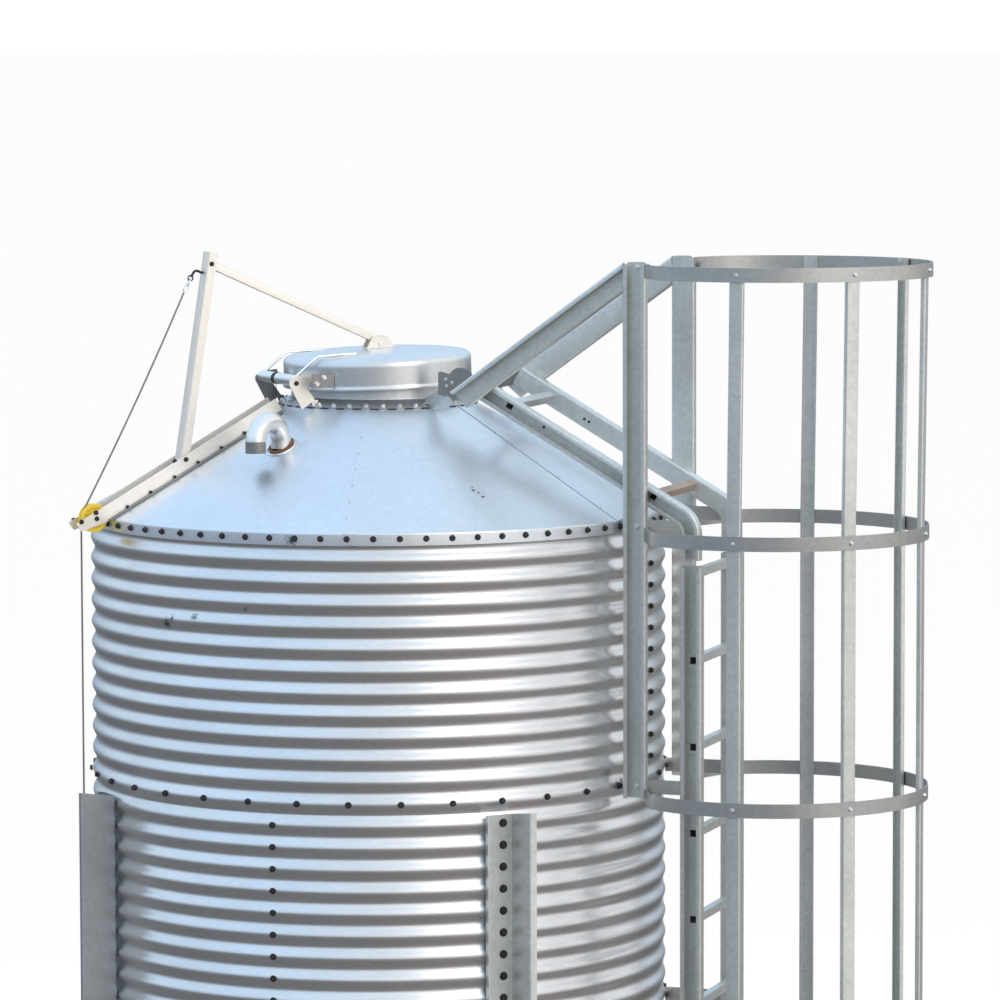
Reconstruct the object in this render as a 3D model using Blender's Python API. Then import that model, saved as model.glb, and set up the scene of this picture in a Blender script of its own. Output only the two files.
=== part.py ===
"""Grain silo on four legs: corrugated rings, panelled roof, hinged lid with its rope linkage, caged ladder.

Lengths are in metres, +Z is up and the ground is at Z = 0. Azimuths are in degrees, 0 towards -Y and
growing towards +X. A place is given as (out, side, z) in the upright plane through one azimuth.
"""

from math import asin, atan2, cos, degrees, hypot, pi, radians, sin, sqrt, tan

import bpy
import bmesh
from mathutils import Matrix, Vector

# Driving dimensions of the tank
PITCH = 0.0677
WAVE = 0.00635
TANK_R = 0.9144
RING_WAVES = 12
RING_SEAM_Z = 2.95
WALL = 0.004
FACET = 10.0
FIRST_FACET = 4.0
EAVE_BOLT_Z = RING_SEAM_Z + RING_WAVES * PITCH
HOPPER_SEAM_Z = RING_SEAM_Z - RING_WAVES * PITCH
CREST_R = TANK_R + WAVE
UPPER_SEAM_AZ = 69.0
LOWER_SEAM_AZ = -21.0
GAP = 0.0003

# Hopper and outlet
HOPPER_SLOPE = 60.0
HOPPER_TOP_R = TANK_R - WAVE - WALL - GAP
HOPPER_LAP = 0.060
OUTLET_R = 0.2072
HOPPER_FOOT_Z = HOPPER_SEAM_Z - (HOPPER_TOP_R - OUTLET_R) * tan(radians(HOPPER_SLOPE))
SPOUT = 0.060
BOOT_WALL = 0.004
BOOT_HEIGHT = 0.075
FLANGE_R = 0.262
FLANGE_T = 0.006

# Roof
ROOF_RISE = 0.5477
EAVE_R = 0.925
EAVE_Z = 3.7788
SKIRT_Z = 3.741
ROOF_T = 0.003
SEAM_AZ = -66.0
PANELS = 6
RIB_TOP = 0.014
RIB_FOOT = 0.020
RIB_H = 0.010
RIB_START_R = 0.350
HATCH_R = 0.262
COLLAR_R = 0.276
COLLAR_T = 0.003
COLLAR_TOP_Z = 4.236
COLLAR_FOOT_R = 0.318

# Lid, its hinge and the four-bar linkage, in the upright plane at LINK_AZ
LINK_AZ = -66.0
HINGE = (0.342, 4.200)
LID_R = 0.300
LID_T = 0.003
LID_EDGE_Z = 4.252
LID_SKIRT_Z = 4.162
LID_CROWN_Z = 4.275
LID_TILT = 2.0
TUBE_R = 0.018
TUBE_BORE = 0.0135
HINGE_PIN_R = 0.0128
HINGE_HALF = 0.1355
HINGE_PLATE = 0.004
ARM_SIDE = 0.128
ARM_R = 0.004
CLEVIS_PIN = (0.000, 4.313)
STRUT_PIVOT = (0.675, 3.957)
LINK_PIN = (0.579, 4.568)
STRUT_HALF = 0.0255
STRUT_DEPTH = 0.030
STRUT_TOP = 0.655
STRUT_T = 0.003
LINK_HALF = 0.012
LINK_DEPTH = 0.024
LINK_T = 0.003
RAIL_ARM_SIDE = 0.031
RAIL_ARM_T = 0.004
RAIL_ARM_H = 0.0485
RAIL_ARM_FOOT = 0.016
RAIL_ARM_FOOT_T = 0.0065
RAIL_ARM_ENDS = (0.345, 0.935, 1.0205)
RAIL_ARM_NOSE = 0.0185
PIN_R = 0.008
SMALL_PIN_R = 0.005
PULLEY = (0.975, 3.783)
PULLEY_R = 0.045
PULLEY_HALF = 0.012
PULLEY_GROOVE = 0.0345
ROPE_R = 0.0032
ROPE_SAG = 0.007
ROPE_EYE = (0.641, 4.524)
EYE_R = 0.0062
EYE_RIM = 0.0043
HOOK_PATH = ((0.596, 4.5402), (0.6051, 4.5405), (0.614, 4.545), (0.6219, 4.5472), (0.630, 4.5425),
             (0.6355, 4.5334), (0.6395, 4.526))
HOOK_LENGTH = 0.044
HOOK_ROD = 0.003
HOOK_HALF = 0.0065
CLEAT_Z = 1.330

# Legs
LEG_AZ = (24.0, 114.0, 204.0, -66.0)
LEG_T = 0.004
LEG_TOP_Z = 2.908
LEG_TOP_RISE = 0.14
LEG_DEPTH = 0.120
LEG_LIP = 0.025
LEG_FLANGE = (-0.060, 0.030)
LEG_TOE = 0.026
FOOT_HALF = 0.110
FOOT_T = 0.012
FOOT_OUT = 0.975

# Ladder, posts and cage, in the frame of LADDER_AZ
LADDER_AZ = 70.0
RUNG_STEP = 4 * PITCH
STILE_OUT = 1.114
STILE_SIDE = 0.207
STILE_W = 0.068
STILE_FLANGE = 0.040
STILE_ENDS = (0.300, 3.641)
TOP_RUNG_Z = 3.616
RUNGS = 13
RUNG_HALF = 0.013
CHANNEL_T = 0.003
POST_OUT = 0.942
POST_W = 0.074
POST_FLANGE = 0.030
LIP = 0.013
POST_SIDE = STILE_SIDE + STILE_FLANGE + CHANNEL_T / 2 + GAP
POST_ENDS = (2.915, 4.582)
RAIL_W = 0.060
RAIL_OUT = 1.142
RAIL_SLOPE = 30.2
RAIL_POINT = (0.515, 4.127)
RAIL_START = 0.401
RAIL_RUNGS = (0, 2)
BEND_R = 0.100
RAIL_END_Z = 3.660
HANDRAIL_W = 0.062
HANDRAIL_POINT = (0.385, 4.1658)
HANDRAIL_ENDS = (0.3385, 0.396)
HANDRAIL_RISE = 0.723
GUSSET_T = 0.004
CAGE_OUT = 1.313
CAGE_R = 0.484
HOOP_LEAN = 0.009
STRAP = 0.004
STRAP_W = 0.044
HOOP_TOP_Z = 4.577
HOOPS = 4
HOOP_STEP = RING_WAVES * PITCH + 0.003
HOOP_VERTEX = 9.0
BAR_ANGLES = (-89.5, -45.5, 0.8, 47.5, 92.2)
BAR_W = 0.045
BAR_DEPTH = 0.0155
BAR_T = 0.003

# Vent
VENT_AZ = -36.0
VENT_OUT = 0.5147
VENT_R = 0.034
VENT_WALL = 0.003
VENT_BEND = 0.063
VENT_RISE = 0.0175
VENT_DROP = 0.028

# The tank stands off centre in its own box, because the cage reaches out on one side.
FOOT_REACH = FOOT_OUT * cos(radians(LEG_AZ[0])) + FOOT_HALF * (
    cos(radians(LEG_AZ[0])) + sin(radians(LEG_AZ[0]))
)
CAGE_REACH = (CAGE_OUT + HOOP_LEAN) * sin(radians(LADDER_AZ)) + CAGE_R
AXIS_X = (FOOT_REACH - CAGE_REACH) / 2

MATERIALS = {
    "galvanised": ((0.62, 0.64, 0.66), 0.35, 0.9),
    "weathered": ((0.42, 0.42, 0.41), 0.55, 0.8),
    "cream_zinc": ((0.80, 0.74, 0.62), 0.40, 0.7),
    "yellow_plastic": ((0.85, 0.66, 0.12), 0.45, 0.0),
    "wire_rope": ((0.45, 0.45, 0.44), 0.50, 0.8),
    "bolt_steel": ((0.20, 0.20, 0.20), 0.45, 0.8),
}


def material(name):
    found = bpy.data.materials.get(name)
    if found:
        return found
    made = bpy.data.materials.new(name)
    made.use_nodes = True
    colour, roughness, metallic = MATERIALS[name]
    shader = made.node_tree.nodes["Principled BSDF"]
    shader.inputs["Base Color"].default_value = (*colour, 1.0)
    shader.inputs["Roughness"].default_value = roughness
    shader.inputs["Metallic"].default_value = metallic
    return made


def clear_scene():
    for old in list(bpy.data.objects):
        bpy.data.objects.remove(old, do_unlink=True)


def empty(name, place, parent=None):
    made = bpy.data.objects.new(name, None)
    made.location = Vector(place)
    bpy.context.scene.collection.objects.link(made)
    if parent:
        made.parent = parent
        made.location = Vector(place) - home(parent)
        made["home"] = tuple(place)
    else:
        made["home"] = (0.0, 0.0, 0.0)
    return made


def home(parent):
    """Where a parent empty lies, measured from the tank's axis at ground level."""
    return Vector(parent["home"])


def polar(az, radius, z):
    return Vector((radius * sin(radians(az)), -radius * cos(radians(az)), z))


class Upright:
    """The upright plane through the tank's axis at one azimuth."""

    def __init__(self, az):
        self.az = az
        self.out = Vector((sin(radians(az)), -cos(radians(az)), 0.0))
        self.side = Vector((cos(radians(az)), sin(radians(az)), 0.0))
        self.up = Vector((0.0, 0.0, 1.0))

    def at(self, out, side, z):
        return self.out * out + self.side * side + self.up * z


LINK = Upright(LINK_AZ)
LADDER = Upright(LADDER_AZ)
VENT = Upright(VENT_AZ)


def finish(name, mesh_data, parent, finish_name, smooth=False):
    """Makes the object from a bmesh given in tank coordinates, and hangs it from its parent."""
    bmesh.ops.recalc_face_normals(mesh_data, faces=mesh_data.faces)
    bmesh.ops.translate(mesh_data, verts=mesh_data.verts, vec=-home(parent))
    mesh = bpy.data.meshes.new(name)
    mesh_data.to_mesh(mesh)
    mesh_data.free()
    made = bpy.data.objects.new(name, mesh)
    bpy.context.scene.collection.objects.link(made)
    made.parent = parent
    mesh.materials.append(material(finish_name))
    if smooth:
        mesh.shade_smooth()
        mesh.set_sharp_from_angle(angle=radians(35))
    return made


def sweep_into(mesh_data, stations, section, closed=False):
    """Carries a closed section along stations of (origin, first axis, second axis)."""
    rings = []
    for origin, first, second in stations:
        rings.append([mesh_data.verts.new(origin + first * u + second * v) for u, v in section])
    count = len(section)
    pairs = list(zip(rings, rings[1:]))
    if closed:
        pairs.append((rings[-1], rings[0]))
    for low, high in pairs:
        for i in range(count):
            j = (i + 1) % count
            mesh_data.faces.new((low[i], low[j], high[j], high[i]))
    if not closed:
        mesh_data.faces.new(rings[0])
        mesh_data.faces.new(rings[-1][::-1])


def sweep(name, stations, section, parent, finish_name, closed=False, smooth=False):
    mesh_data = bmesh.new()
    sweep_into(mesh_data, stations, section, closed)
    return finish(name, mesh_data, parent, finish_name, smooth)


def rectangle(u0, u1, v0, v1):
    return [(u0, v0), (u1, v0), (u1, v1), (u0, v1)]


def lipped(width, flange, lip, thick):
    """A channel whose flanges, along +v, end in lips that turn back towards each other."""
    half = width / 2
    web = thick / 2
    far = flange + thick / 2
    return [(-half, -web), (half, -web), (half, far), (half - lip, far), (half - lip, far - thick),
            (half - thick, far - thick), (half - thick, web), (-half + thick, web),
            (-half + thick, far - thick), (-half + lip, far - thick), (-half + lip, far), (-half, far)]


def circle(radius, sides):
    return [(radius * cos(2 * pi * i / sides), radius * sin(2 * pi * i / sides)) for i in range(sides)]


def plate_stations(plane, side0, side1):
    """Two stations that turn an outline of (out, z) into a plate lying in the upright plane."""
    return [(plane.side * side0, plane.out, plane.up), (plane.side * side1, plane.out, plane.up)]


def plate(name, plane, outline, side0, side1, parent, finish_name):
    return sweep(name, plate_stations(plane, side0, side1), outline, parent, finish_name)


def hidden(helper):
    helper.hide_render = True
    helper.display_type = "WIRE"
    return helper


def cutter(name, stations, section, parent):
    """A hidden solid for a Boolean."""
    return hidden(sweep(name, stations, section, parent, "bolt_steel"))


def boolean(target, tool, operation):
    step = target.modifiers.new(operation.lower() + " " + tool.name, "BOOLEAN")
    step.operation = operation
    step.object = tool
    step.solver = "EXACT"


def drill(target, plane, place, radius, side0, side1, parent, sides=16):
    """Drills a round hole along the plane's side axis."""
    centre = plane.out * place[0] + plane.up * place[1]
    stations = [(centre + plane.side * s, plane.out, plane.up) for s in (side0, side1)]
    boolean(target, cutter(target.name + "_hole", stations, circle(radius, sides), parent), "DIFFERENCE")


def facet_offset(az):
    """Degrees from an azimuth to the middle of the wall facet that it crosses."""
    return (az - FIRST_FACET + FACET / 2) % FACET - FACET / 2


def facet_r(az, radius):
    """The walls are polygons of 36 facets whose middles lie at the true radius."""
    return radius / cos(radians(facet_offset(az)))


def wall_out(plane, side, radius):
    """How far out the polygon of that radius reaches, in a plane parallel to the upright one."""
    reach = []
    for step in range(36):
        turn = radians(FIRST_FACET + step * FACET - plane.az)
        if cos(turn) > 0.3:
            reach.append((radius - side * sin(turn)) / cos(turn))
    return min(reach)


def shell_of(name, azimuths, outline, parent, finish_name, smooth=True):
    """Turns a closed outline of (radius, z) through the azimuths, as a polygon shell."""
    around = abs(azimuths[-1] - azimuths[0]) >= 359.9
    stations = []
    for az in azimuths[:-1] if around else azimuths:
        stretch = facet_r(az, 1.0)
        stations.append((Vector((0, 0, 0)), polar(az, stretch, 0), Vector((0, 0, 1))))
    return sweep(name, stations, outline, parent, finish_name, closed=around, smooth=smooth)


def seam_azimuths(start, end):
    """The facet corners between two sheet edges, which keep a hair's gap to the next sheet."""
    hair = degrees(GAP / 2 / TANK_R)
    corners = [start + FACET * i for i in range(1, round((end - start) / FACET))]
    return [start + hair] + corners + [end - hair]


def corrugation(low_wave, high_wave):
    """The sheet's section between two half waves, counted from the ring seam."""
    outer = []
    for half in range(low_wave, high_wave + 1):
        crest = WAVE if half % 2 == 0 else -WAVE
        outer.append((TANK_R + crest, RING_SEAM_Z + half * PITCH / 2))
    inner = [(radius - WALL, z) for radius, z in reversed(outer)]
    return outer + inner


def build_walls(root):
    upper = corrugation(-1, 2 * RING_WAVES)
    lower = corrugation(-2 * RING_WAVES, -1)
    lower = [(r, z - GAP) if z > RING_SEAM_Z - PITCH * 0.6 else (r, z) for r, z in lower]
    for number in range(2):
        first = UPPER_SEAM_AZ - 180 + 180 * number
        shell_of(f"upper_wall_{number + 1}", seam_azimuths(first, first + 180), upper, root, "galvanised")
        first = LOWER_SEAM_AZ + 180 * number
        shell_of(f"lower_wall_{number + 1}", seam_azimuths(first, first + 180), lower, root, "galvanised")


def build_hopper(root):
    drop = WALL * tan(radians(HOPPER_SLOPE / 2))
    outer = [(HOPPER_TOP_R, HOPPER_SEAM_Z + HOPPER_LAP), (HOPPER_TOP_R, HOPPER_SEAM_Z),
             (OUTLET_R, HOPPER_FOOT_Z), (OUTLET_R, HOPPER_FOOT_Z - SPOUT)]
    inner = [(OUTLET_R - WALL, HOPPER_FOOT_Z - SPOUT), (OUTLET_R - WALL, HOPPER_FOOT_Z + drop),
             (HOPPER_TOP_R - WALL, HOPPER_SEAM_Z + drop), (HOPPER_TOP_R - WALL, HOPPER_SEAM_Z + HOPPER_LAP)]
    for number in range(2):
        first = UPPER_SEAM_AZ - 180 + 180 * number
        shell_of(f"hopper_{number + 1}", seam_azimuths(first, first + 180), outer + inner, root, "galvanised")
    inside = OUTLET_R + GAP
    outside = inside + BOOT_WALL
    top = HOPPER_FOOT_Z - 0.006
    foot = top - BOOT_HEIGHT
    boot = [(inside, top), (inside, foot), (FLANGE_R, foot), (FLANGE_R, foot + FLANGE_T),
            (outside, foot + FLANGE_T), (outside, top)]
    around = [LOWER_SEAM_AZ + FACET * i for i in range(37)]
    shell_of("outlet_boot", around, boot, root, "galvanised")


def roof_z(radius):
    return EAVE_Z + (EAVE_R - radius) * ROOF_RISE


def roof_at(point):
    """The height of the roof's flat facet under a point."""
    az = degrees(atan2(point.x, -point.y))
    return roof_z(point.dot(polar(az - facet_offset(az), 1.0, 0.0)))


def build_roof_panel(number, root):
    """One roof sheet: raised half ribs along both edges and a skirt turned down over the wall."""
    start = SEAM_AZ + 360 / PANELS * number
    end = start + 360 / PANELS
    rows = [(HATCH_R, 0), (RIB_START_R - 0.010, 0), (RIB_START_R, RIB_H), (EAVE_R, RIB_H), (EAVE_R, None)]
    edge = (GAP / 2, RIB_TOP, RIB_FOOT)
    middle = [start + FACET / 2 + FACET * i for i in range(int(360 / PANELS / FACET))]
    mesh_data = bmesh.new()
    skins = []
    for inside in (False, True):
        grid = []
        for radius, lift in rows:
            wide = max(radius, RIB_START_R)
            turns = [degrees(asin(d / wide)) for d in edge]
            columns = [(start + turn, d < RIB_FOOT) for turn, d in zip(turns, edge)]
            columns += [(az, False) for az in middle]
            columns += [(end - turn, d < RIB_FOOT) for turn, d in reversed(list(zip(turns, edge)))]
            line = []
            for az, raised in columns:
                if lift is None:
                    place = polar(az, facet_r(az, EAVE_R - (ROOF_T if inside else 0)), SKIRT_Z)
                else:
                    level = roof_z(radius) + (lift if raised else 0) - (ROOF_T if inside else 0)
                    pulled = ROOF_T if inside and radius == EAVE_R else 0
                    place = polar(az, facet_r(az, radius - pulled), level)
                line.append(mesh_data.verts.new(place))
            grid.append(line)
        skins.append(grid)
    outer, inner = skins
    last_row = len(rows) - 1
    last_column = len(outer[0]) - 1
    for i in range(last_row):
        for j in range(last_column):
            mesh_data.faces.new((outer[i][j], outer[i + 1][j], outer[i + 1][j + 1], outer[i][j + 1]))
            mesh_data.faces.new((inner[i][j], inner[i][j + 1], inner[i + 1][j + 1], inner[i + 1][j]))
        for j in (0, last_column):
            mesh_data.faces.new((outer[i][j], inner[i][j], inner[i + 1][j], outer[i + 1][j]))
    for i in (0, last_row):
        for j in range(last_column):
            mesh_data.faces.new((outer[i][j], outer[i][j + 1], inner[i][j + 1], inner[i][j]))
    finish(f"roof_panel_{number + 1}", mesh_data, root, "galvanised")


def build_roof(root):
    for number in range(PANELS):
        build_roof_panel(number, root)
    inner_r = COLLAR_R - COLLAR_T
    outline = [
        (inner_r, COLLAR_TOP_Z), (inner_r, roof_z(inner_r) + GAP),
        (COLLAR_FOOT_R, roof_z(COLLAR_FOOT_R) + GAP),
        (COLLAR_FOOT_R, roof_z(COLLAR_FOOT_R) + GAP + COLLAR_T),
        (COLLAR_R, roof_z(COLLAR_R) + GAP + COLLAR_T), (COLLAR_R, COLLAR_TOP_Z),
    ]
    around = [LOWER_SEAM_AZ + FACET * i for i in range(37)]
    shell_of("hatch_collar", around, outline, root, "galvanised")


def tube_of(name, points, radius, parent, finish_name, wall=None, sides=12, normal=None):
    """A round bar, or a pipe when a wall is given, along points in one plane with that normal."""
    mesh_data = bmesh.new()
    stations = []
    for i, point in enumerate(points):
        before = points[max(i - 1, 0)]
        after = points[min(i + 1, len(points) - 1)]
        along = (after - before).normalized()
        stations.append((point, normal, normal.cross(along).normalized()))
    outer_rings = []
    for origin, first, second in stations:
        outer_rings.append([mesh_data.verts.new(origin + first * u + second * v)
                            for u, v in circle(radius, sides)])
    skins = [outer_rings]
    if wall:
        inner_rings = []
        for origin, first, second in stations:
            inner_rings.append([mesh_data.verts.new(origin + first * u + second * v)
                                for u, v in circle(radius - wall, sides)])
        skins.append(inner_rings)
    for rings in skins:
        for low, high in zip(rings, rings[1:]):
            for i in range(sides):
                j = (i + 1) % sides
                mesh_data.faces.new((low[i], low[j], high[j], high[i]))
    for end in (0, -1):
        if wall:
            for i in range(sides):
                j = (i + 1) % sides
                mesh_data.faces.new((outer_rings[end][i], outer_rings[end][j],
                                     skins[1][end][j], skins[1][end][i]))
        else:
            mesh_data.faces.new(outer_rings[end])
    return finish(name, mesh_data, parent, finish_name, smooth=True)


def build_vent(root):
    """The gooseneck pipe: up from its base on the roof, over, and down to an open mouth."""
    facet = Upright(VENT_AZ - facet_offset(VENT_AZ)).out

    def on_roof(point, lift):
        return roof_z(Vector((point.x, point.y, 0)).dot(facet)) + lift

    foot_z = roof_z(VENT_OUT)
    bend_z = foot_z + VENT_RISE
    points = [VENT.at(VENT_OUT, 0, foot_z)]
    for i in range(9):
        angle = pi - pi * i / 8
        out = VENT_OUT + VENT_BEND + VENT_BEND * cos(angle)
        points.append(VENT.at(out, 0, bend_z + VENT_BEND * sin(angle)))
    points.append(VENT.at(VENT_OUT + 2 * VENT_BEND, 0, bend_z - VENT_DROP))
    pipe = tube_of("vent_pipe", points, VENT_R, root, "cream_zinc", wall=VENT_WALL, normal=VENT.side)
    for vertex in pipe.data.vertices:
        if abs(vertex.co.z - foot_z) < 1e-6:
            vertex.co.z = on_roof(vertex.co, 0.002)
    stations = []
    for i in range(16):
        turn = 2 * pi * i / 16
        around = VENT.out * cos(turn) + VENT.side * sin(turn)
        stations.append((VENT.at(VENT_OUT, 0, 0), around, VENT.up))
    mesh_data = bmesh.new()
    sweep_into(mesh_data, stations, rectangle(VENT_R - 0.0015, VENT_R + 0.008, 0.0006, 0.0046), closed=True)
    for vertex in mesh_data.verts:
        vertex.co.z = on_roof(vertex.co, vertex.co.z)
    boolean(pipe, hidden(finish("vent_base", mesh_data, root, "galvanised")), "UNION")


def tilt_matrix():
    """The small turn about the hinge line at which the lid rests."""
    centre = LINK.at(HINGE[0], 0, HINGE[1])
    turn = Matrix.Rotation(radians(LID_TILT), 4, LINK.side)
    return Matrix.Translation(centre) @ turn @ Matrix.Translation(-centre)


def tilt_mesh(obj, parent):
    shift = Matrix.Translation(home(parent))
    obj.data.transform(shift.inverted() @ tilt_matrix() @ shift)


def build_lid(parent):
    lip = 0.004
    outline = [
        (0.0, LID_CROWN_Z), (LID_R - 0.008, LID_EDGE_Z), (LID_R, LID_EDGE_Z - 0.008),
        (LID_R, LID_SKIRT_Z + lip), (LID_R + lip, LID_SKIRT_Z), (LID_R - LID_T, LID_SKIRT_Z),
        (LID_R - LID_T, LID_EDGE_Z - 0.009), (LID_R - 0.010, LID_EDGE_Z - LID_T), (0.0, LID_CROWN_Z - LID_T),
    ]
    sides = 36
    mesh_data = bmesh.new()
    crown = mesh_data.verts.new((0, 0, outline[0][1]))
    ceiling = mesh_data.verts.new((0, 0, outline[-1][1]))
    rings = []
    for i in range(sides):
        az = FIRST_FACET + 360 / sides * i
        rings.append([mesh_data.verts.new(polar(az, r, z)) for r, z in outline[1:-1]])
    for k, low in enumerate(rings):
        high = rings[(k + 1) % sides]
        for i in range(len(low) - 1):
            mesh_data.faces.new((low[i], low[i + 1], high[i + 1], high[i]))
        mesh_data.faces.new((crown, low[0], high[0]))
        mesh_data.faces.new((ceiling, high[-1], low[-1]))
    lid = finish("lid", mesh_data, parent, "galvanised", smooth=True)
    tilt_mesh(lid, parent)

    centre = LINK.at(HINGE[0], 0, HINGE[1])
    points = [centre + LINK.side * s for s in (-HINGE_HALF, HINGE_HALF)]
    mesh_data = bmesh.new()
    sides = 16
    for r in (TUBE_R, TUBE_BORE):
        rings = []
        for point in points:
            rings.append([mesh_data.verts.new(point + LINK.out * u + LINK.up * v)
                          for u, v in circle(r, sides)])
        for i in range(sides):
            j = (i + 1) % sides
            mesh_data.faces.new((rings[0][i], rings[0][j], rings[1][j], rings[1][i]))
        if r == TUBE_R:
            outer = rings
    for end in (0, 1):
        for i in range(sides):
            j = (i + 1) % sides
            mesh_data.faces.new((outer[end][i], outer[end][j], rings[end][j], rings[end][i]))
    tube = finish("lid_hinge_tube", mesh_data, parent, "cream_zinc", smooth=True)

    slope = (LID_CROWN_Z - LID_EDGE_Z) / (LID_R - 0.008)
    rest = ARM_R + 0.0006
    for label, s in (("near", ARM_SIDE), ("far", -ARM_SIDE)):
        path = [(HINGE[0] - 0.0060, HINGE[1] + 0.0146), (0.262, 4.2713)]
        path.append((0.130, LID_CROWN_Z - slope * hypot(0.130, s) + rest))
        points = [LINK.at(out, s, z) for out, z in path]
        arm = tube_of(f"lid_arm_{label}", points, ARM_R, parent, "galvanised", sides=8, normal=LINK.side)
        tilt_mesh(arm, parent)
        boolean(tube, hidden(arm), "UNION")

    low_z = LID_CROWN_Z + GAP
    top_z = CLEVIS_PIN[1]
    cheek = LINK_HALF + 0.0055
    section = [(-cheek - 0.003, low_z), (cheek + 0.003, low_z), (cheek + 0.003, top_z), (cheek, top_z),
               (cheek, low_z + 0.003), (-cheek, low_z + 0.003), (-cheek, top_z), (-cheek - 0.003, top_z)]
    mesh_data = bmesh.new()
    rings = []
    for foot, head in ((0.044, 0.022), (-0.052, -0.032)):
        ring = []
        for s, z in section:
            share = (z - low_z) / (top_z - low_z)
            ring.append(mesh_data.verts.new(LINK.at(foot + (head - foot) * share, s, z)))
        rings.append(ring)
    for i in range(len(section)):
        j = (i + 1) % len(section)
        mesh_data.faces.new((rings[0][i], rings[0][j], rings[1][j], rings[1][i]))
    mesh_data.faces.new(rings[0])
    mesh_data.faces.new(rings[1][::-1])
    clevis = finish("lid_clevis", mesh_data, parent, "cream_zinc")
    tilt_mesh(clevis, parent)


def build_hinge_plates(root):
    """Two upright plates beside the collar, each with a stub pin in the hinge tube."""
    head = [(0.3234, 4.1091), (0.3655, 4.1876), (0.3654, 4.2002), (0.3466, 4.2153), (0.2919, 4.2209),
            (0.2852, 4.2009), (0.3080, 4.1765), (0.2923, 4.1570), (0.2787, 4.1376), (0.2680, 4.1376)]
    for label, sign in (("near", 1), ("far", -1)):
        near = sign * (HINGE_HALF + 0.0005)
        far = near + sign * HINGE_PLATE
        side = max(abs(near), abs(far))
        foot = [(out, roof_at(LINK.at(out, side, 0)) + COLLAR_T + 0.0022) for out in (0.2680, 0.2850)]
        name = f"hinge_plate_{label}"
        made = plate(name, LINK, head + foot + [(0.2900, 4.1304)], near, far, root, "cream_zinc")
        centre = LINK.at(HINGE[0], 0, HINGE[1])
        ends = (near + sign * 0.002, near - sign * 0.030)
        stations = [(centre + LINK.side * s, LINK.out, LINK.up) for s in ends]
        pin = cutter(name + "_pin", stations, circle(HINGE_PIN_R, 16), root)
        boolean(made, pin, "UNION")


def strut_axes():
    """The strut's direction up from its pivot, and the direction square to it, outwards."""
    out = LINK_PIN[0] - STRUT_PIVOT[0]
    z = LINK_PIN[1] - STRUT_PIVOT[1]
    length = hypot(out, z)
    along = (LINK.out * out + LINK.up * z) / length
    across = (LINK.out * z - LINK.up * out) / length
    return along, across


def build_strut(parent):
    along, across = strut_axes()
    foot = LINK.at(STRUT_PIVOT[0], 0, STRUT_PIVOT[1])
    half = STRUT_DEPTH / 2
    section = [(half, -STRUT_HALF), (half, STRUT_HALF), (-half, STRUT_HALF),
               (-half, STRUT_HALF - STRUT_T), (half - STRUT_T, STRUT_HALF - STRUT_T),
               (half - STRUT_T, -STRUT_HALF + STRUT_T), (-half, -STRUT_HALF + STRUT_T), (-half, -STRUT_HALF)]
    stations = [(foot + along * d, across, LINK.side) for d in (-0.012, STRUT_TOP)]
    strut = sweep("strut", stations, section, parent, "cream_zinc")
    drill(strut, LINK, STRUT_PIVOT, PIN_R + 0.0005, -0.03, 0.03, parent)

    points = [LINK.at(out, 0, z) for out, z in HOOK_PATH]
    rod = tube_of("rope_hook", points, 0.0042, parent, "bolt_steel", sides=10, normal=LINK.side)
    boolean(strut, hidden(rod), "UNION")
    eye = LINK.at(ROPE_EYE[0], 0, ROPE_EYE[1])
    stations = [(eye + LINK.side * s, LINK.out, LINK.up) for s in (-0.0025, 0.0025)]
    boolean(strut, cutter("rope_eye", stations, circle(EYE_R + EYE_RIM, 20), parent), "UNION")
    drill(strut, LINK, ROPE_EYE, EYE_R, -0.01, 0.01, parent, sides=12)

    pin = LINK.at(LINK_PIN[0], 0, LINK_PIN[1])
    reach = STRUT_HALF - STRUT_T / 2
    stations = [(pin + LINK.side * s, LINK.out, LINK.up) for s in (-reach, reach)]
    boolean(strut, cutter("link_pin", stations, circle(SMALL_PIN_R, 12), parent), "UNION")


def build_link(parent):
    start = LINK.at(LINK_PIN[0], 0, LINK_PIN[1])
    end = LINK.at(CLEVIS_PIN[0], 0, CLEVIS_PIN[1])
    along = (end - start).normalized()
    across = LINK.side.cross(along).normalized()
    half = LINK_DEPTH / 2
    top = 1 if across.z > 0 else -1
    inner = LINK_HALF - LINK_T
    web = top * (half - LINK_T)
    section = [(top * half, -LINK_HALF), (top * half, LINK_HALF), (-top * half, LINK_HALF),
               (-top * half, inner), (web, inner), (web, -inner), (-top * half, -inner),
               (-top * half, -LINK_HALF)]
    length = (end - start).length
    stations = [(start + along * d, across, LINK.side) for d in (-0.0065, length + 0.004)]
    link = sweep("link", stations, section, parent, "cream_zinc")
    drill(link, LINK, LINK_PIN, SMALL_PIN_R + 0.0005, -0.02, 0.02, parent)


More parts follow.
